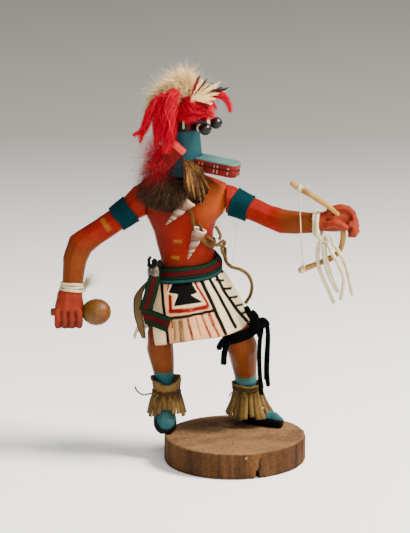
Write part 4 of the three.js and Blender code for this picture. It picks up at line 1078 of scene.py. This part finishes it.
def armband(side, stations):
    """A felt strip sewn round the upper arm, a little puckered."""
    before, middle, after = np.array(stations, float)
    axis, across, over = square_to(after - before)
    along = np.linspace(-6.8, 6.8, 26)
    angle = np.linspace(0, 2 * math.pi, 84, endpoint=False)
    h, a = np.meshgrid(along, angle, indexing="ij")
    radius = 10.45 - 1.1 * (h + 6.8) / 13.6 + 0.12 * np.sin(a * 4 + h * 0.4)
    radius = radius + 0.35 * step(5.4, 6.8, np.abs(h))
    grid = middle + h[..., None] * axis + radius[..., None] * spoke(a, across, over)
    grid += (0.35 * np.sin(a * 3 + 1))[..., None] * axis * step(3, 7, np.abs(h))[..., None]
    paint = blend(COLOUR["felt"], COLOUR["deep_teal"], step(0, 1.4, wobble(grid, 5)) * 0.5)
    build = Build()
    add_sheet(build, grid, 1.1, paint, closed=True)
    name = "armband_" + side
    made = build.piece(name + "_look", MATERIAL["felt"], [name])
    count = 1500
    places, out = scatter(np.vstack(build.points), np.vstack(
        [np.vstack([f[:, :3], f[:, [0, 2, 3]]]) for f in build.faces]), count)
    fuzz = Build()
    hairs = grow(places, out, rng.uniform(0.4, 1.0, count), (0, 0, -0.3), 0.6, 4)
    add_fibres(fuzz, hairs, 0.09, shades(COLOUR["felt"], COLOUR["deep_teal"], count))
    fuzz.piece(name + "_fuzz", MATERIAL["felt"])


armband("right", ARM_RIGHT)
armband("left", ARM_LEFT)


def ring_of(middle, axis, reach, lift=0.0):
    """The line of one wound turn, reach from the axis and lift along it."""
    axis, across, over = square_to(axis)
    turn = np.linspace(0, 2 * math.pi * 0.985, 56)
    return (np.asarray(middle) + lift * axis + (0.25 * np.sin(turn * 3 + lift))[:, None] * axis
            + reach * spoke(turn, across, over))


def wraps():
    build = Build()
    for lift, reach in ((-2.2, 9.0), (0, 8.5), (2.2, 8.1)):
        add_yarn(build, ring_of((-119.9, 1, 134.4), (0.06, 0.12, 1), reach, lift), 1.2, WHITE,
                 SHADE)
    # a wisp of loose fluff tied in with the yarn
    count = 420
    roots = np.array([-110.9, -1, 136]) + rng.normal(0, 1.0, (count, 3)) * (0.3, 0.8, 1.6)
    wisp = grow(roots, unit(rng.normal((0.9, -0.2, 0.6), 0.35, (count, 3))),
                rng.uniform(4, 11, count), (-0.1, 0, 0.4), 0.4, 8)
    add_fibres(build, wisp, 0.1, shades(WHITE, SHADE, count))
    build.piece("wrist_yarn_right_look", MATERIAL["yarn"], ["wrist_yarn_right"])
    build = Build()
    for lift, reach in ((-1.6, 9.0), (0.9, 9.0), (-0.4, 7.0)):
        add_yarn(build, ring_of((61.6, -10.4, 185.2), (1, -0.28, 0.08), reach, lift), 1.5, WHITE,
                 SHADE)
    add_yarn(build, path([(61, -14, 193.4), (60, -18.6, 190), (59.8, -20.4, 184),
                          (61, -20.6, 178), (64, -20, 174.4)], 0.5), 1.5, WHITE, SHADE)
    build.piece("wrist_yarn_left_look", MATERIAL["yarn"], ["wrist_yarn_left"])
    build = Build()
    for route in ([(61, -18.6, 176.8), (63, -22, 175.6), (66.4, -22.4, 174.6), (69.4, -20.6, 175),
                   (68.6, -17.8, 177)],
                  [(62, -19.4, 173.8), (65, -21.8, 176.6), (68.4, -21, 176.8),
                   (70.6, -19.4, 174.2)],
                  [(66.6, -23, 178.4), (67.6, -23.4, 175.6), (66.6, -21.6, 172.6)]):
        add_yarn(build, path(route, 0.4), 1.3, WHITE, SHADE)
    build.piece("yarn_knot_look", MATERIAL["yarn"], ["yarn_knot"])
    build = Build()
    for lift, reach in ((-3.4, 12.6), (-1.8, 13.0), (-0.2, 13.2), (1.4, 13.2), (3.0, 12.8)):
        add_yarn(build, ring_of((4.2, 8, 98.8), (-0.36, -0.14, 0.92), reach, lift), 1.15, INK,
                 COLOUR["black"])
    # loose ends at the inner side, a loop over the hem and the knot at the outer side
    for route, thick in (([(-6, 1, 95), (-9, -5, 93), (-11, -7.6, 90.6), (-11.4, -7.6, 88.6)],
                          2.4),
                         ([(-4, -2, 94), (-6.4, -7, 90), (-7.6, -8, 84), (-8, -8, 77)], 2.4),
                         ([(15, -2, 105), (14.4, -4.6, 109), (11, -5, 115), (8.6, -4, 120)], 2.3),
                         ([(13, -1, 103), (17, -4, 108), (15.6, -4, 113), (12.6, -3, 116)], 2.4),
                         ([(12, -4, 102), (17, -4.6, 105), (21, -2.6, 106), (20.4, 1, 103)], 2.4),
                         ([(14, 3, 104), (18, 0, 108), (22, 2, 108), (25, 4, 104)], 2.2),
                         ([(12, -3, 106), (16, -5, 104), (18.4, -4, 100), (19, -1, 97)], 2.2)):
        add_yarn(build, path(route, 0.6), thick, INK, COLOUR["black"], 7)
    build.piece("garter_look", MATERIAL["yarn"], ["garter"])


wraps()


def bow_knots():
    """Thread bound round the stick where the string is tied, with loose ends."""
    build = Build()
    for middle, axis, turns in (((47.5, -17, 212.6), (1, 0, -0.62), 5),
                                ((50.4, -17, 152), (1, 0, 0.4), 5)):
        for turn in range(turns):
            line = ring_of(middle, axis, 2.3, (turn - turns / 2) * 0.7)
            add_tube(build, line, 0.42, blend(WHITE, SHADE, 0.3), 6)
    for route in ([(47.6, -19.3, 211.6), (50, -20, 214.6), (53.6, -20, 215), (55, -20, 213.2)],
                  [(50, -19.4, 154), (47.8, -20, 158.6), (45.8, -20, 161.8), (44.2, -20, 163.4)],
                  [(50.2, -19.6, 153), (51.8, -20.4, 156), (50.8, -20.4, 158)]):
        line = path(route, 0.4)
        add_tube(build, line, 0.42, blend(WHITE, SHADE, 0.3), 6)
    build.piece("bow_binding", MATERIAL["yarn"])


bow_knots()

# ---- cuffs ---------------------------------------------------------------------------
# The middle of each ankle, then heights and radii from the fringe's ends to the rim.
CUFFS = {"right": ((-50.8, 12.6), (32.5, 43.5, 50, 64), (14.6, 12.2, 9.2, 10.9)),
         "left": ((10.6, 28.4), (27.5, 38, 49, 55), (16.4, 12.6, 10.2, 11.4))}


def cuff(side):
    """A suede cuff gathered by a thong, its lower part cut into a fringe."""
    (x, y), heights, radii = CUFFS[side]
    tie = heights[2]
    stem = np.linspace(heights[3], tie - 5, 26)
    angle = np.linspace(0, 2 * math.pi, 110, endpoint=False)
    h, a = np.meshgrid(stem, angle, indexing="ij")
    radius = np.interp(h, heights, radii)
    gather = np.exp(-((h - tie) / 4.5) ** 2)
    folds = 0.5 * np.sin(a * 13) + 0.25 * np.sin(a * 7 + 1)
    radius = radius + folds * (0.35 + gather) - gather * 0.3
    rim = step(heights[3] - 3, heights[3], h)
    front = np.maximum(0, -np.sin(a)) ** 2
    lean = -0.2 - 0.22 * front if side == "right" else -0.45
    h = h + np.maximum(h - tie, 0) * lean + rim * (0.5 * np.sin(a * 2 + 0.8) + 0.4 * np.sin(a * 5))
    radius = radius + rim * (0.8 * np.cos(a - math.pi) + 0.3 * np.sin(a * 4))
    grid = np.stack([x + radius * np.cos(a), y + radius * np.sin(a), h], -1)
    # random mottling, and painted shade where the cuff is gathered into folds under the thong
    paint = blend(COLOUR["suede"], COLOUR["suede_dark"],
                  0.35 + 0.35 * wobble(grid, 5) + gather * 0.3)
    build = Build()
    add_sheet(build, grid, 1.0, paint, closed=True)
    made = build.piece("cuff_" + side + "_look", MATERIAL["suede"], ["cuff_" + side])
    # the fringe: strips of the same hide that splay and curl a little
    build = Build()
    count = 22
    for i in range(count):
        turn = 2 * math.pi * (i + rng.uniform(-0.12, 0.12)) / count
        twist, curl = rng.uniform(-0.25, 0.25), rng.uniform(-0.4, 1.3)
        length = rng.uniform(-1.0, 2.0)
        if side == "right":
            length += 5.5 * math.exp(-((math.sin(turn / 2 + math.pi / 4)) / 0.3) ** 2)
        t = np.linspace(0, 1, 9)
        z = tie - 2.2 + (heights[0] + length - tie + 2.2) * t
        reach = np.interp(z, heights[:3], radii[:3]) + curl * t ** 2 - 0.1
        if side == "left":
            reach = reach + 3 * t * max(math.cos(turn), 0)
        width = (2 * math.pi / count) * 1.02
        columns = []
        for share in (-0.5, 0, 0.5):
            at = turn + width * share * (1 - 0.15 * t) + twist * t ** 2 * 0.25
            lift = (0.35 if share == 0 else 0) + share * twist * t * 3
            out = reach + lift
            columns.append(np.stack([x + out * np.cos(at), y + out * np.sin(at), z], -1))
        tone = blend(COLOUR["suede"], COLOUR["suede_dark"], rng.uniform(0, 0.75))
        # painted shade: each strip darker at its root, under the cuff
        fade = blend(np.broadcast_to(COLOUR["suede_dark"], (9, 3)), tone, step(0, 0.35, t))
        add_sheet(build, np.stack(columns, 1), 0.8, fade[:, None])
    build.piece("fringe_" + side, MATERIAL["suede"])
    # the thong round the waist of the cuff, and its ends
    build = Build()
    for lift in (-0.75, 0.75):
        add_tube(build, ring_of((x, y, tie), (0, 0.05, 1), radii[2] + 1.25, lift), 0.8,
                 COLOUR["suede_dark"], 7)
    if side == "right":
        ends = [[(-58, 4.5, 50.6), (-63, 1, 51.4), (-68.2, 0, 50.9), (-72.7, 0, 54.0),
                 (-74, 0, 57.4)],
                [(-57, 3.4, 50), (-60, 0, 47), (-59, -2, 42.6)]]
    else:
        ends = [[(3, 21.6, 46.6), (-1.4, 18, 47.6), (-4, 16.6, 44)],
                [(4, 20.6, 46), (6, 16.6, 43.6), (5.2, 15, 39.6)]]
    for route in ends:
        line = path(route, 0.4)
        add_tube(build, line, 0.75, blend(COLOUR["suede_dark"], COLOUR["suede"], 0.5), 7, 0.6)
    build.piece("cuff_tie_" + side + "_look", MATERIAL["suede"], ["cuff_tie_" + side])


cuff("right")
cuff("left")


# ---- bandolier and shells ------------------------------------------------------------
def bandolier():
    """A hide strap from shoulder to waist and round the back, with a twisted knot."""
    route = path([(-100, 203, 0), (-88, 196.6, 0), (-76, 182, 0), (-62, 172.6, 0), (-40, 166, 0),
                  (0, 165, 0), (40, 168, 0), (75, 180, 0), (100, 194, 0), (112, 204, 0)], 2.0)
    across = np.linspace(-2.4, 2.4, 7)
    a = np.radians(route[:, 0])[:, None] + 0 * across[None]
    z = route[:, 1][:, None] + across[None]
    room = 0.95 + 0.35 * np.cos(across / 2.4 * 1.5)[None] + 0.25 * np.sin(a * 9)
    grid = outside_torso(a, z, room)
    tone = blend(COLOUR["thong"], COLOUR["suede"], 0.4 + 0.5 * wobble(grid, 4))
    build = Build()
    add_sheet(build, grid, 0.9, tone)
    for way in ([(-15, -3.2, 168.4), (-11, -0.6, 166), (-7.6, 3, 165.4), (-8.6, 6, 168.6)],
                [(-13.6, -2.6, 166), (-9.4, 1, 168.6), (-6.8, 4, 167.2), (-7.8, 6.4, 163.4)],
                [(-8.6, 1.6, 166.4), (-9.6, 3.2, 162), (-7.6, 4, 156.6), (-6.2, 6, 151.6),
                 (-2.8, 8, 148.8)],
                [(-11.4, -2.2, 170.6), (-10.4, -1.4, 173.6), (-12, 0.4, 177), (-14, 2, 180)],
                [(-27, -3.4, 184), (-24.8, -5.2, 181), (-24.2, -6.6, 178.4)],
                [(-24.2, -6.4, 178.6), (-20.6, -4.8, 174.2), (-15.6, -2.6, 170)]):
        line = path(way, 0.4)
        tone = blend(COLOUR["thong"], COLOUR["suede"], 0.45 + 0.5 * wobble(line, 3))
        add_tube(build, line, 1.15, tone, 8, 0.65)
    build.piece("bandolier_look", MATERIAL["suede"], ["bandolier"])


bandolier()


def shell(name, tip, mouth, radius):
    """A long turret shell: whorls that wind up to the tip, ribbed and banded."""
    tip, mouth = np.array(tip, float), np.array(mouth, float)
    axis, across, over = square_to(mouth - tip)
    length = np.linalg.norm(mouth - tip)
    along = np.linspace(0.02, 1, 120)
    angle = np.linspace(0, 2 * math.pi, 36, endpoint=False)
    t, a = np.meshgrid(along, angle, indexing="ij")
    whorl = np.log(t / 0.02) / math.log(50) * 7 - a / (2 * math.pi)
    saw = np.mod(whorl, 1)
    ridge = np.sin(np.minimum(saw / 0.82, 1) * math.pi) ** 0.6
    rib = 0.5 + 0.5 * np.cos(a * 14 + saw * 2)
    reach = radius * t ** 0.78 * (0.82 + 0.18 * ridge + 0.06 * rib * ridge)
    grid = tip + (t * length)[..., None] * axis + reach[..., None] * spoke(a, across, over)
    paint = blend(COLOUR["shell"], COLOUR["shell_white"], step(0.3, 0.75, saw))
    paint = blend(paint, COLOUR["shell_tan"], step(0.28, 0.05, np.abs(saw - 0.2)) * 0.85
                  * (0.6 + 0.4 * wobble(grid, 3)))
    paint = blend(paint, COLOUR["shell_tan"], (1 - rib) * 0.6)
    paint = blend(paint, COLOUR["shell_tan"], 0.3 + 0.3 * wobble(grid, 5))
    paint = blend(paint, COLOUR["shell_dark"], step(0.14, 0.0, np.minimum(saw, 1 - saw)) * 0.85)
    paint = blend(paint, COLOUR["shell_white"], step(0.94, 0.99, t))
    build = Build()
    lip = np.linspace(1, 0, 12)
    inner = mouth - ((1 - lip) * 5)[:, None, None] * axis + (
        (lip * radius * 0.86)[:, None] * np.ones(len(angle)))[..., None] * spoke(
            angle, across, over)[None]
    # painted shade: the inside of the mouth darker deeper in
    hole = np.broadcast_to(blend(COLOUR["shell_white"], COLOUR["shell_dark"] * 0.3,
                                 step(0.95, 0.75, lip))[:, None], inner.shape)
    whole = np.vstack([grid, inner])
    build.add(whole, [grid_faces(len(whole), len(angle), True)[:, ::-1]],
              np.vstack([paint, hole]).reshape(-1, 3))
    build.piece(name + "_look", MATERIAL["shell"], [name])


shell("shell_upper", (-51, -10.4, 183.6), (-33, -9.4, 202.4), 5.6)
shell("shell_lower", (-34.8, -7.6, 156.6), (-25.6, -9.4, 180.4), 5.3)


# ---- fur ruff and feathers -----------------------------------------------------------
def ruff():
    """Dark fur round the neck that hangs over the right shoulder, greyer over that shoulder."""
    points, normals, faces = refined("ruff", 1.4, 2)
    build = Build()
    sunk = 1.6 + 1.4 * step(204, 196, points[:, 2]) + 2 * step(-38, -32, points[:, 0]) * (
        points[:, 1] < 4)
    # a hidden core under the hairs, painted at half the fur's colour as the shade between them
    build.add(points - normals * sunk[:, None], [faces], COLOUR["fur"] * 0.5)
    tried, most = 30000, 9500
    roots, out = scatter(points - normals * 1.4, faces, tried)
    outward = unit(roots - np.array([-42, 10, 208]))
    keep = (out * outward).sum(-1) > 0.25
    front_left = (roots[:, 0] > -35) & (roots[:, 1] < 4) & (roots[:, 2] < 214)
    keep &= ~front_left
    roots, out = roots[keep][:most], out[keep][:most]
    count = len(roots)
    spread = unit((roots - (-38, 8, 214)) * (1, 1, 0.25)) * 0.55 + (0, 0, -0.75)
    heading = unit(out * 0.35 + spread + rng.normal(0, 0.22, (count, 3)))
    length = rng.uniform(3.5, 8.5, count) * (1 - 0.45 * step(206, 222, roots[:, 2]))
    length *= 1 - 0.6 * step(206, 197, roots[:, 2])
    hairs = grow(roots, heading, length, (0, 0, -0.25), 0.2, 4)
    tone = shades(COLOUR["fur"], COLOUR["fur_light"], count, 2.2)
    left = step(-50, -62, roots[:, 0])
    tone = blend(tone, shades(COLOUR["fur_grey"], COLOUR["fur"], count), left * 0.6)
    add_fibres(build, hairs, 0.35, tone, 0.2)
    # long guard hairs that stray past the rest
    few = 800
    stray = rng.choice(count, few, replace=False)
    long = grow(roots[stray], heading[stray], length[stray] * rng.uniform(1.2, 1.9, few),
                (0, 0, -0.2), 0.35, 5)
    add_fibres(build, long, 0.1, shades(COLOUR["fur_grey"], COLOUR["fur_light"], few))
    build.piece("ruff_look", MATERIAL["fur"], ["ruff"])


ruff()


def add_plume(build, route, width, barbs, colours, sweep, split):
    """A feather: a quill with barbs either side, coloured from root to tip. sweep leans the
    barbs along the quill and split parts them."""
    quill = path(route, 0.5)
    along = unit(np.gradient(quill, axis=0))
    side = unit(np.cross(along, (0.35, -0.9, 0.2)))
    share = np.linspace(0, 1, len(quill))
    tones = np.stack([np.interp(share, np.linspace(0, 1, len(colours)), [c[i] for c in colours])
                      for i in range(3)], -1)
    add_tube(build, quill, np.linspace(0.28, 0.1, len(quill)), tones * 0.8, 5)
    at = rng.integers(int(len(quill) * 0.04), len(quill) - 1, barbs)
    way = rng.choice([-1.0, 1.0], barbs)
    reach = width / 2 * np.sin(math.pi * (share[at] * 0.86 + 0.12)) ** 0.7
    heading = along[at] * sweep + side[at] * way[:, None]
    heading = unit(heading + rng.normal(0, split, (barbs, 3)))
    lines = grow(quill[at], heading, reach / math.sqrt(1 / (1 + sweep ** 2)) * rng.uniform(
        0.8, 1.15, barbs), along[at] * 0.5, 0.05 + split * 0.4, 4)
    tip = np.clip(share[at][:, None] + np.linspace(0, 0.25, 4)[None], 0, 1)
    paint = np.stack([np.interp(tip, share, tones[:, i]) for i in range(3)], -1)
    paint = paint * rng.uniform(0.8, 1.15, (barbs, 1, 1))
    add_fibres(build, lines, 0.5, paint, 0.3)


def chin_feathers():
    """Long golden-brown feathers that fan down from under the mask."""
    gold, brown, pale = COLOUR["leaf"], COLOUR["leaf_dark"], COLOUR["fur_light"]
    build = Build()
    for i, (end_x, end_z, tone) in enumerate((
            (-35.6, 209, brown), (-34, 203, brown), (-32.4, 205, gold), (-30.8, 199, brown),
            (-29.2, 203, gold), (-27.6, 198.6, brown), (-26, 202, pale), (-24.4, 198.4, gold),
            (-22.8, 202, brown), (-21.2, 201, gold), (-19.8, 206, brown), (-18.2, 209, gold),
            (-15.6, 214, brown))):
        share = i / 12
        start = (-39 + 4 * share, -6 + 2 * share, 234 - 2 * share)
        bend = (-36.6 + 10 * share, -12.6 + 3.4 * share, 226 + share)
        low = (start[0] * 0.25 + end_x * 0.75, -15.4 + 6 * share + (i % 2), 218 - 3 * (1 - share))
        end = (end_x, -13.4 + 8.6 * share + (i % 3) * 0.5, end_z)
        width = 2.0 if tone is gold else 2.2
        add_plume(build, [start, bend, low, end], width, 230,
                  [tone * 0.35, tone, tone * 1.25, tone * 0.6], 2.2, 0.08)
    build.piece("chin_feathers", MATERIAL["feather"], ["chin_feather_long"])


chin_feathers()


# ---- crown ---------------------------------------------------------------------------
def head_down():
    """Fluffy cream down in rounded tufts, browner at the back of the right side."""
    lobes = [((-36.6, 6, 286.4), 8.4, 0.0), ((-44.8, 6, 283), 7.6, 0.1),
             ((-52.6, 6, 279), 6.6, 0.45), ((-41, 0, 279), 6.4, 0.15),
             ((-33, 2, 281), 6.2, 0.05), ((-58, 8, 273), 6.0, 0.9), ((-61, 6, 266), 4.6, 1.0),
             ((-40, 14, 284), 8.0, 0.1), ((-49, 14, 278), 7.0, 0.3), ((-31, 11, 280), 6.2, 0.1)]
    build = Build()
    for middle, radius, brown in lobes:
        middle = np.array(middle, float)
        count = int(170 * radius)
        out = unit(rng.normal(0, 1, (count, 3)) + (0, -0.15, 0.35))
        hairs = grow(middle + out * radius * 0.2, out, radius * rng.uniform(0.4, 1.0, count),
                     (0, 0, -0.12), 0.45, 4)
        tone = blend(shades(COLOUR["down"], COLOUR["down"] * 0.6, count), COLOUR["down_brown"],
                     brown * rng.random(count))
        shaded = np.linspace(0.5, 1.12, 4)[None, :, None] * tone[:, None]
        add_fibres(build, hairs, 0.6, shaded, 0.1)
        few = out[:330]
        wisps = grow(middle + few * radius * 0.4, few, radius * rng.uniform(0.7, 1.2, len(few)),
                     (0, 0, 0), 0.5, 4)
        add_fibres(build, wisps, 0.14, tone[:len(few)])
    build.piece("head_down_look", MATERIAL["down"], ["head_down"])


head_down()


def head_feathers():
    """A small spray of stiff barred feathers over the brow."""
    cream, brown, tip = COLOUR["down"] * 1.05, COLOUR["feather_brown"], COLOUR["black"]
    crimson = COLOUR["wool_dark"]
    banded = [cream, crimson, crimson, tip]
    dipped = [cream, cream, brown, tip]
    plain = [cream, cream, cream, cream * 0.8]
    root = np.array([-32.4, -15, 276.4])
    sprays = [((-27.6, -4, 292.6), banded), ((-25.6, -5, 294), banded),
              ((-23.6, -5, 290.6), plain), ((-20.4, -6, 291.4), banded),
              ((-18.2, -7, 287.6), plain), ((-15.9, -7, 288.4), dipped),
              ((-13.2, -8, 286.2), plain), ((-10.6, -8, 290), plain), ((-9.2, -7, 286), dipped),
              ((-7, -7, 284.2), dipped), ((-4.6, -7, 285.4), dipped), ((-12, -9, 281.4), plain),
              ((-14.4, -10, 277.6), plain), ((-17, -10, 274.4), plain),
              ((-20, -11, 271.6), banded)]
    build = Build()
    for end, tones in sprays:
        end = np.array(end) + (0, -8, 1.6)
        middle = (root + end) / 2 + (0.4, -0.8, 1.2)
        add_plume(build, [root, middle, end], 2.3, 80, tones, 2.6, 0.2)
    build.piece("head_feathers", MATERIAL["feather"], ["feather_tuft"])


head_feathers()


def add_lock(build, route, radius, count, first, second):
    """A lock of loose fibres that follow a route, over a solid heart."""
    line = path(route, 0.8)
    _, across, over = frames(line)
    share = np.linspace(0, 1, len(line))
    swell = radius * np.sin(math.pi * (0.12 + 0.8 * share)) ** 0.5
    add_tube(build, line, swell * 0.6, (first + second) * 0.42, 10)
    turn = rng.uniform(0, 2 * math.pi, count)
    out = np.sqrt(rng.uniform(0.25, 1.0, count)) * (1 + 0.25 * rng.random(count))
    start = rng.uniform(0, 0.35, count)
    end = np.minimum(start + rng.uniform(0.4, 0.8, count), 1.04)
    steps = 7
    at = start[:, None] + (end - start)[:, None] * np.linspace(0, 1, steps)
    index = np.clip(at * (len(line) - 1), 0, len(line) - 1).astype(int)
    sway = turn[:, None] + 0.5 * np.sin(at * 9 + turn[:, None] * 3)
    reach = (swell[index] * out[:, None])[..., None]
    lines = line[index] + reach * spoke(sway, across[index], over[index])
    lines += np.cumsum(rng.normal(0, 0.161, lines.shape), 1)
    add_fibres(build, lines, 0.28, shades(first, second, count, 1.6), 0.3)
    # loose fibres that stand off the lock
    count //= 3
    at = rng.integers(0, len(line), count)
    turn = rng.uniform(0, 2 * math.pi, count)
    out = spoke(turn, across[at], over[at])
    loose = grow(line[at] + out * swell[at][:, None] * 0.8, unit(out + (0, 0, -0.6)),
                 rng.uniform(1.2, 3.6, count), (0, 0, -0.3), 0.5, 4)
    add_fibres(build, loose, 0.12, shades(first, second, count))


def red_wool():
    """Teased red wool tied over the crown, hanging in locks at the right side."""
    red, dark = COLOUR["wool"], COLOUR["wool_dark"]
    build = Build()
    locks = [([(-47, -2, 281), (-54.6, -4, 277.6), (-61.2, -4.6, 268.4), (-66.8, -4.4, 254.6),
               (-74.6, -4, 249.4)], 2.9, 620),
             ([(-61.2, -4.6, 266), (-66.4, -4.4, 253), (-69.6, -4, 244)], 2.2, 260),
             ([(-43, -4, 283), (-48.7, -6, 279), (-55, -7, 263), (-57.6, -7.6, 241.6)], 3.3, 700),
             ([(-41.4, -8, 283.4), (-44.8, -10.4, 279), (-47.4, -12, 270), (-47.6, -12.6, 260.7),
               (-48, -12.4, 247), (-51, -11, 238)], 4.9, 1200),
             ([(-46, -3, 280), (-52, -6, 270), (-53, -7, 256), (-55, -7, 246)], 4.6, 700),
             ([(-38, -6, 276), (-30, -12, 275), (-20.6, -13.6, 271), (-16, -12.6, 264)], 4.6, 800),
             ([(-39, -7, 273), (-33, -12, 270.6), (-26, -14, 269.4), (-19, -12.6, 271)], 4.6, 900),
             ([(-41, -8, 268.6), (-37, -12, 265.6), (-32, -14, 264.8), (-26, -13.6, 266.4)], 3.8,
              600),
             ([(-36, -2, 276), (-24, -3, 279), (-12, -4, 280), (-7, -4, 277.4),
               (-4.2, -4, 272.6), (-3.4, -4, 266.6)], 2.5, 560),
             ([(-26, -8, 276), (-18.6, -9, 276.4), (-15.4, -9, 273), (-13.4, -9, 269.6)], 1.7,
              240),
             ([(-40, 12, 274), (-50, 12, 274), (-56, 11, 262), (-57, 9, 246)], 5.0, 500),
             ([(-36, 14, 274), (-38, 20.5, 270), (-40, 22.6, 256), (-41, 22, 240)], 5.4, 500),
             ([(-34, 12, 274), (-27, 18, 272), (-23, 20, 258), (-22, 19, 246)], 5.0, 450)]
    for route, radius, count in locks:
        add_lock(build, route, radius, int(count * 0.7), red, dark)
    # thin reddish fuzz that hides the back of the mask down to the fur
    count = 3200
    share = rng.random((count, 1))
    roots = (np.array([-53, 2, 246]) * (1 - share) + np.array([-60, 1, 218]) * share
             + rng.normal(0, 1, (count, 3)) * (4.2, 4.5, 4))
    heading = unit(rng.normal((-0.35, -0.1, -0.8), 0.5, (count, 3)))
    fuzz = grow(roots, heading, rng.uniform(5, 13, count), (0, 0, -0.2), 0.5, 5)
    tone = blend(shades(red, dark, count), shades(COLOUR["fur_grey"], COLOUR["fur"], count),
                 step(0.2, 1.0, share[:, 0] + rng.normal(0, 0.2, count)) * 0.85)
    add_fibres(build, fuzz, 0.15, tone)
    build.piece("red_wool_look", MATERIAL["wool"], ["red_wool"])


red_wool()


def stray_threads():
    """Hair-fine thread hanging from the left armband."""
    build = Build()
    for route in ([(-4.6, 3, 196.6), (-8, 1, 192), (-7, 0, 186.6), (-2, -0.6, 183), (4, -1, 182)],
                  [(0.4, 5, 182), (0.8, 6, 172), (-0.2, 6, 160), (-1.6, 6, 151)]):
        add_tube(build, path(route, 0.5), 0.14, COLOUR["thread"], 5)
    build.piece("stray_thread", MATERIAL["yarn"])


stray_threads()
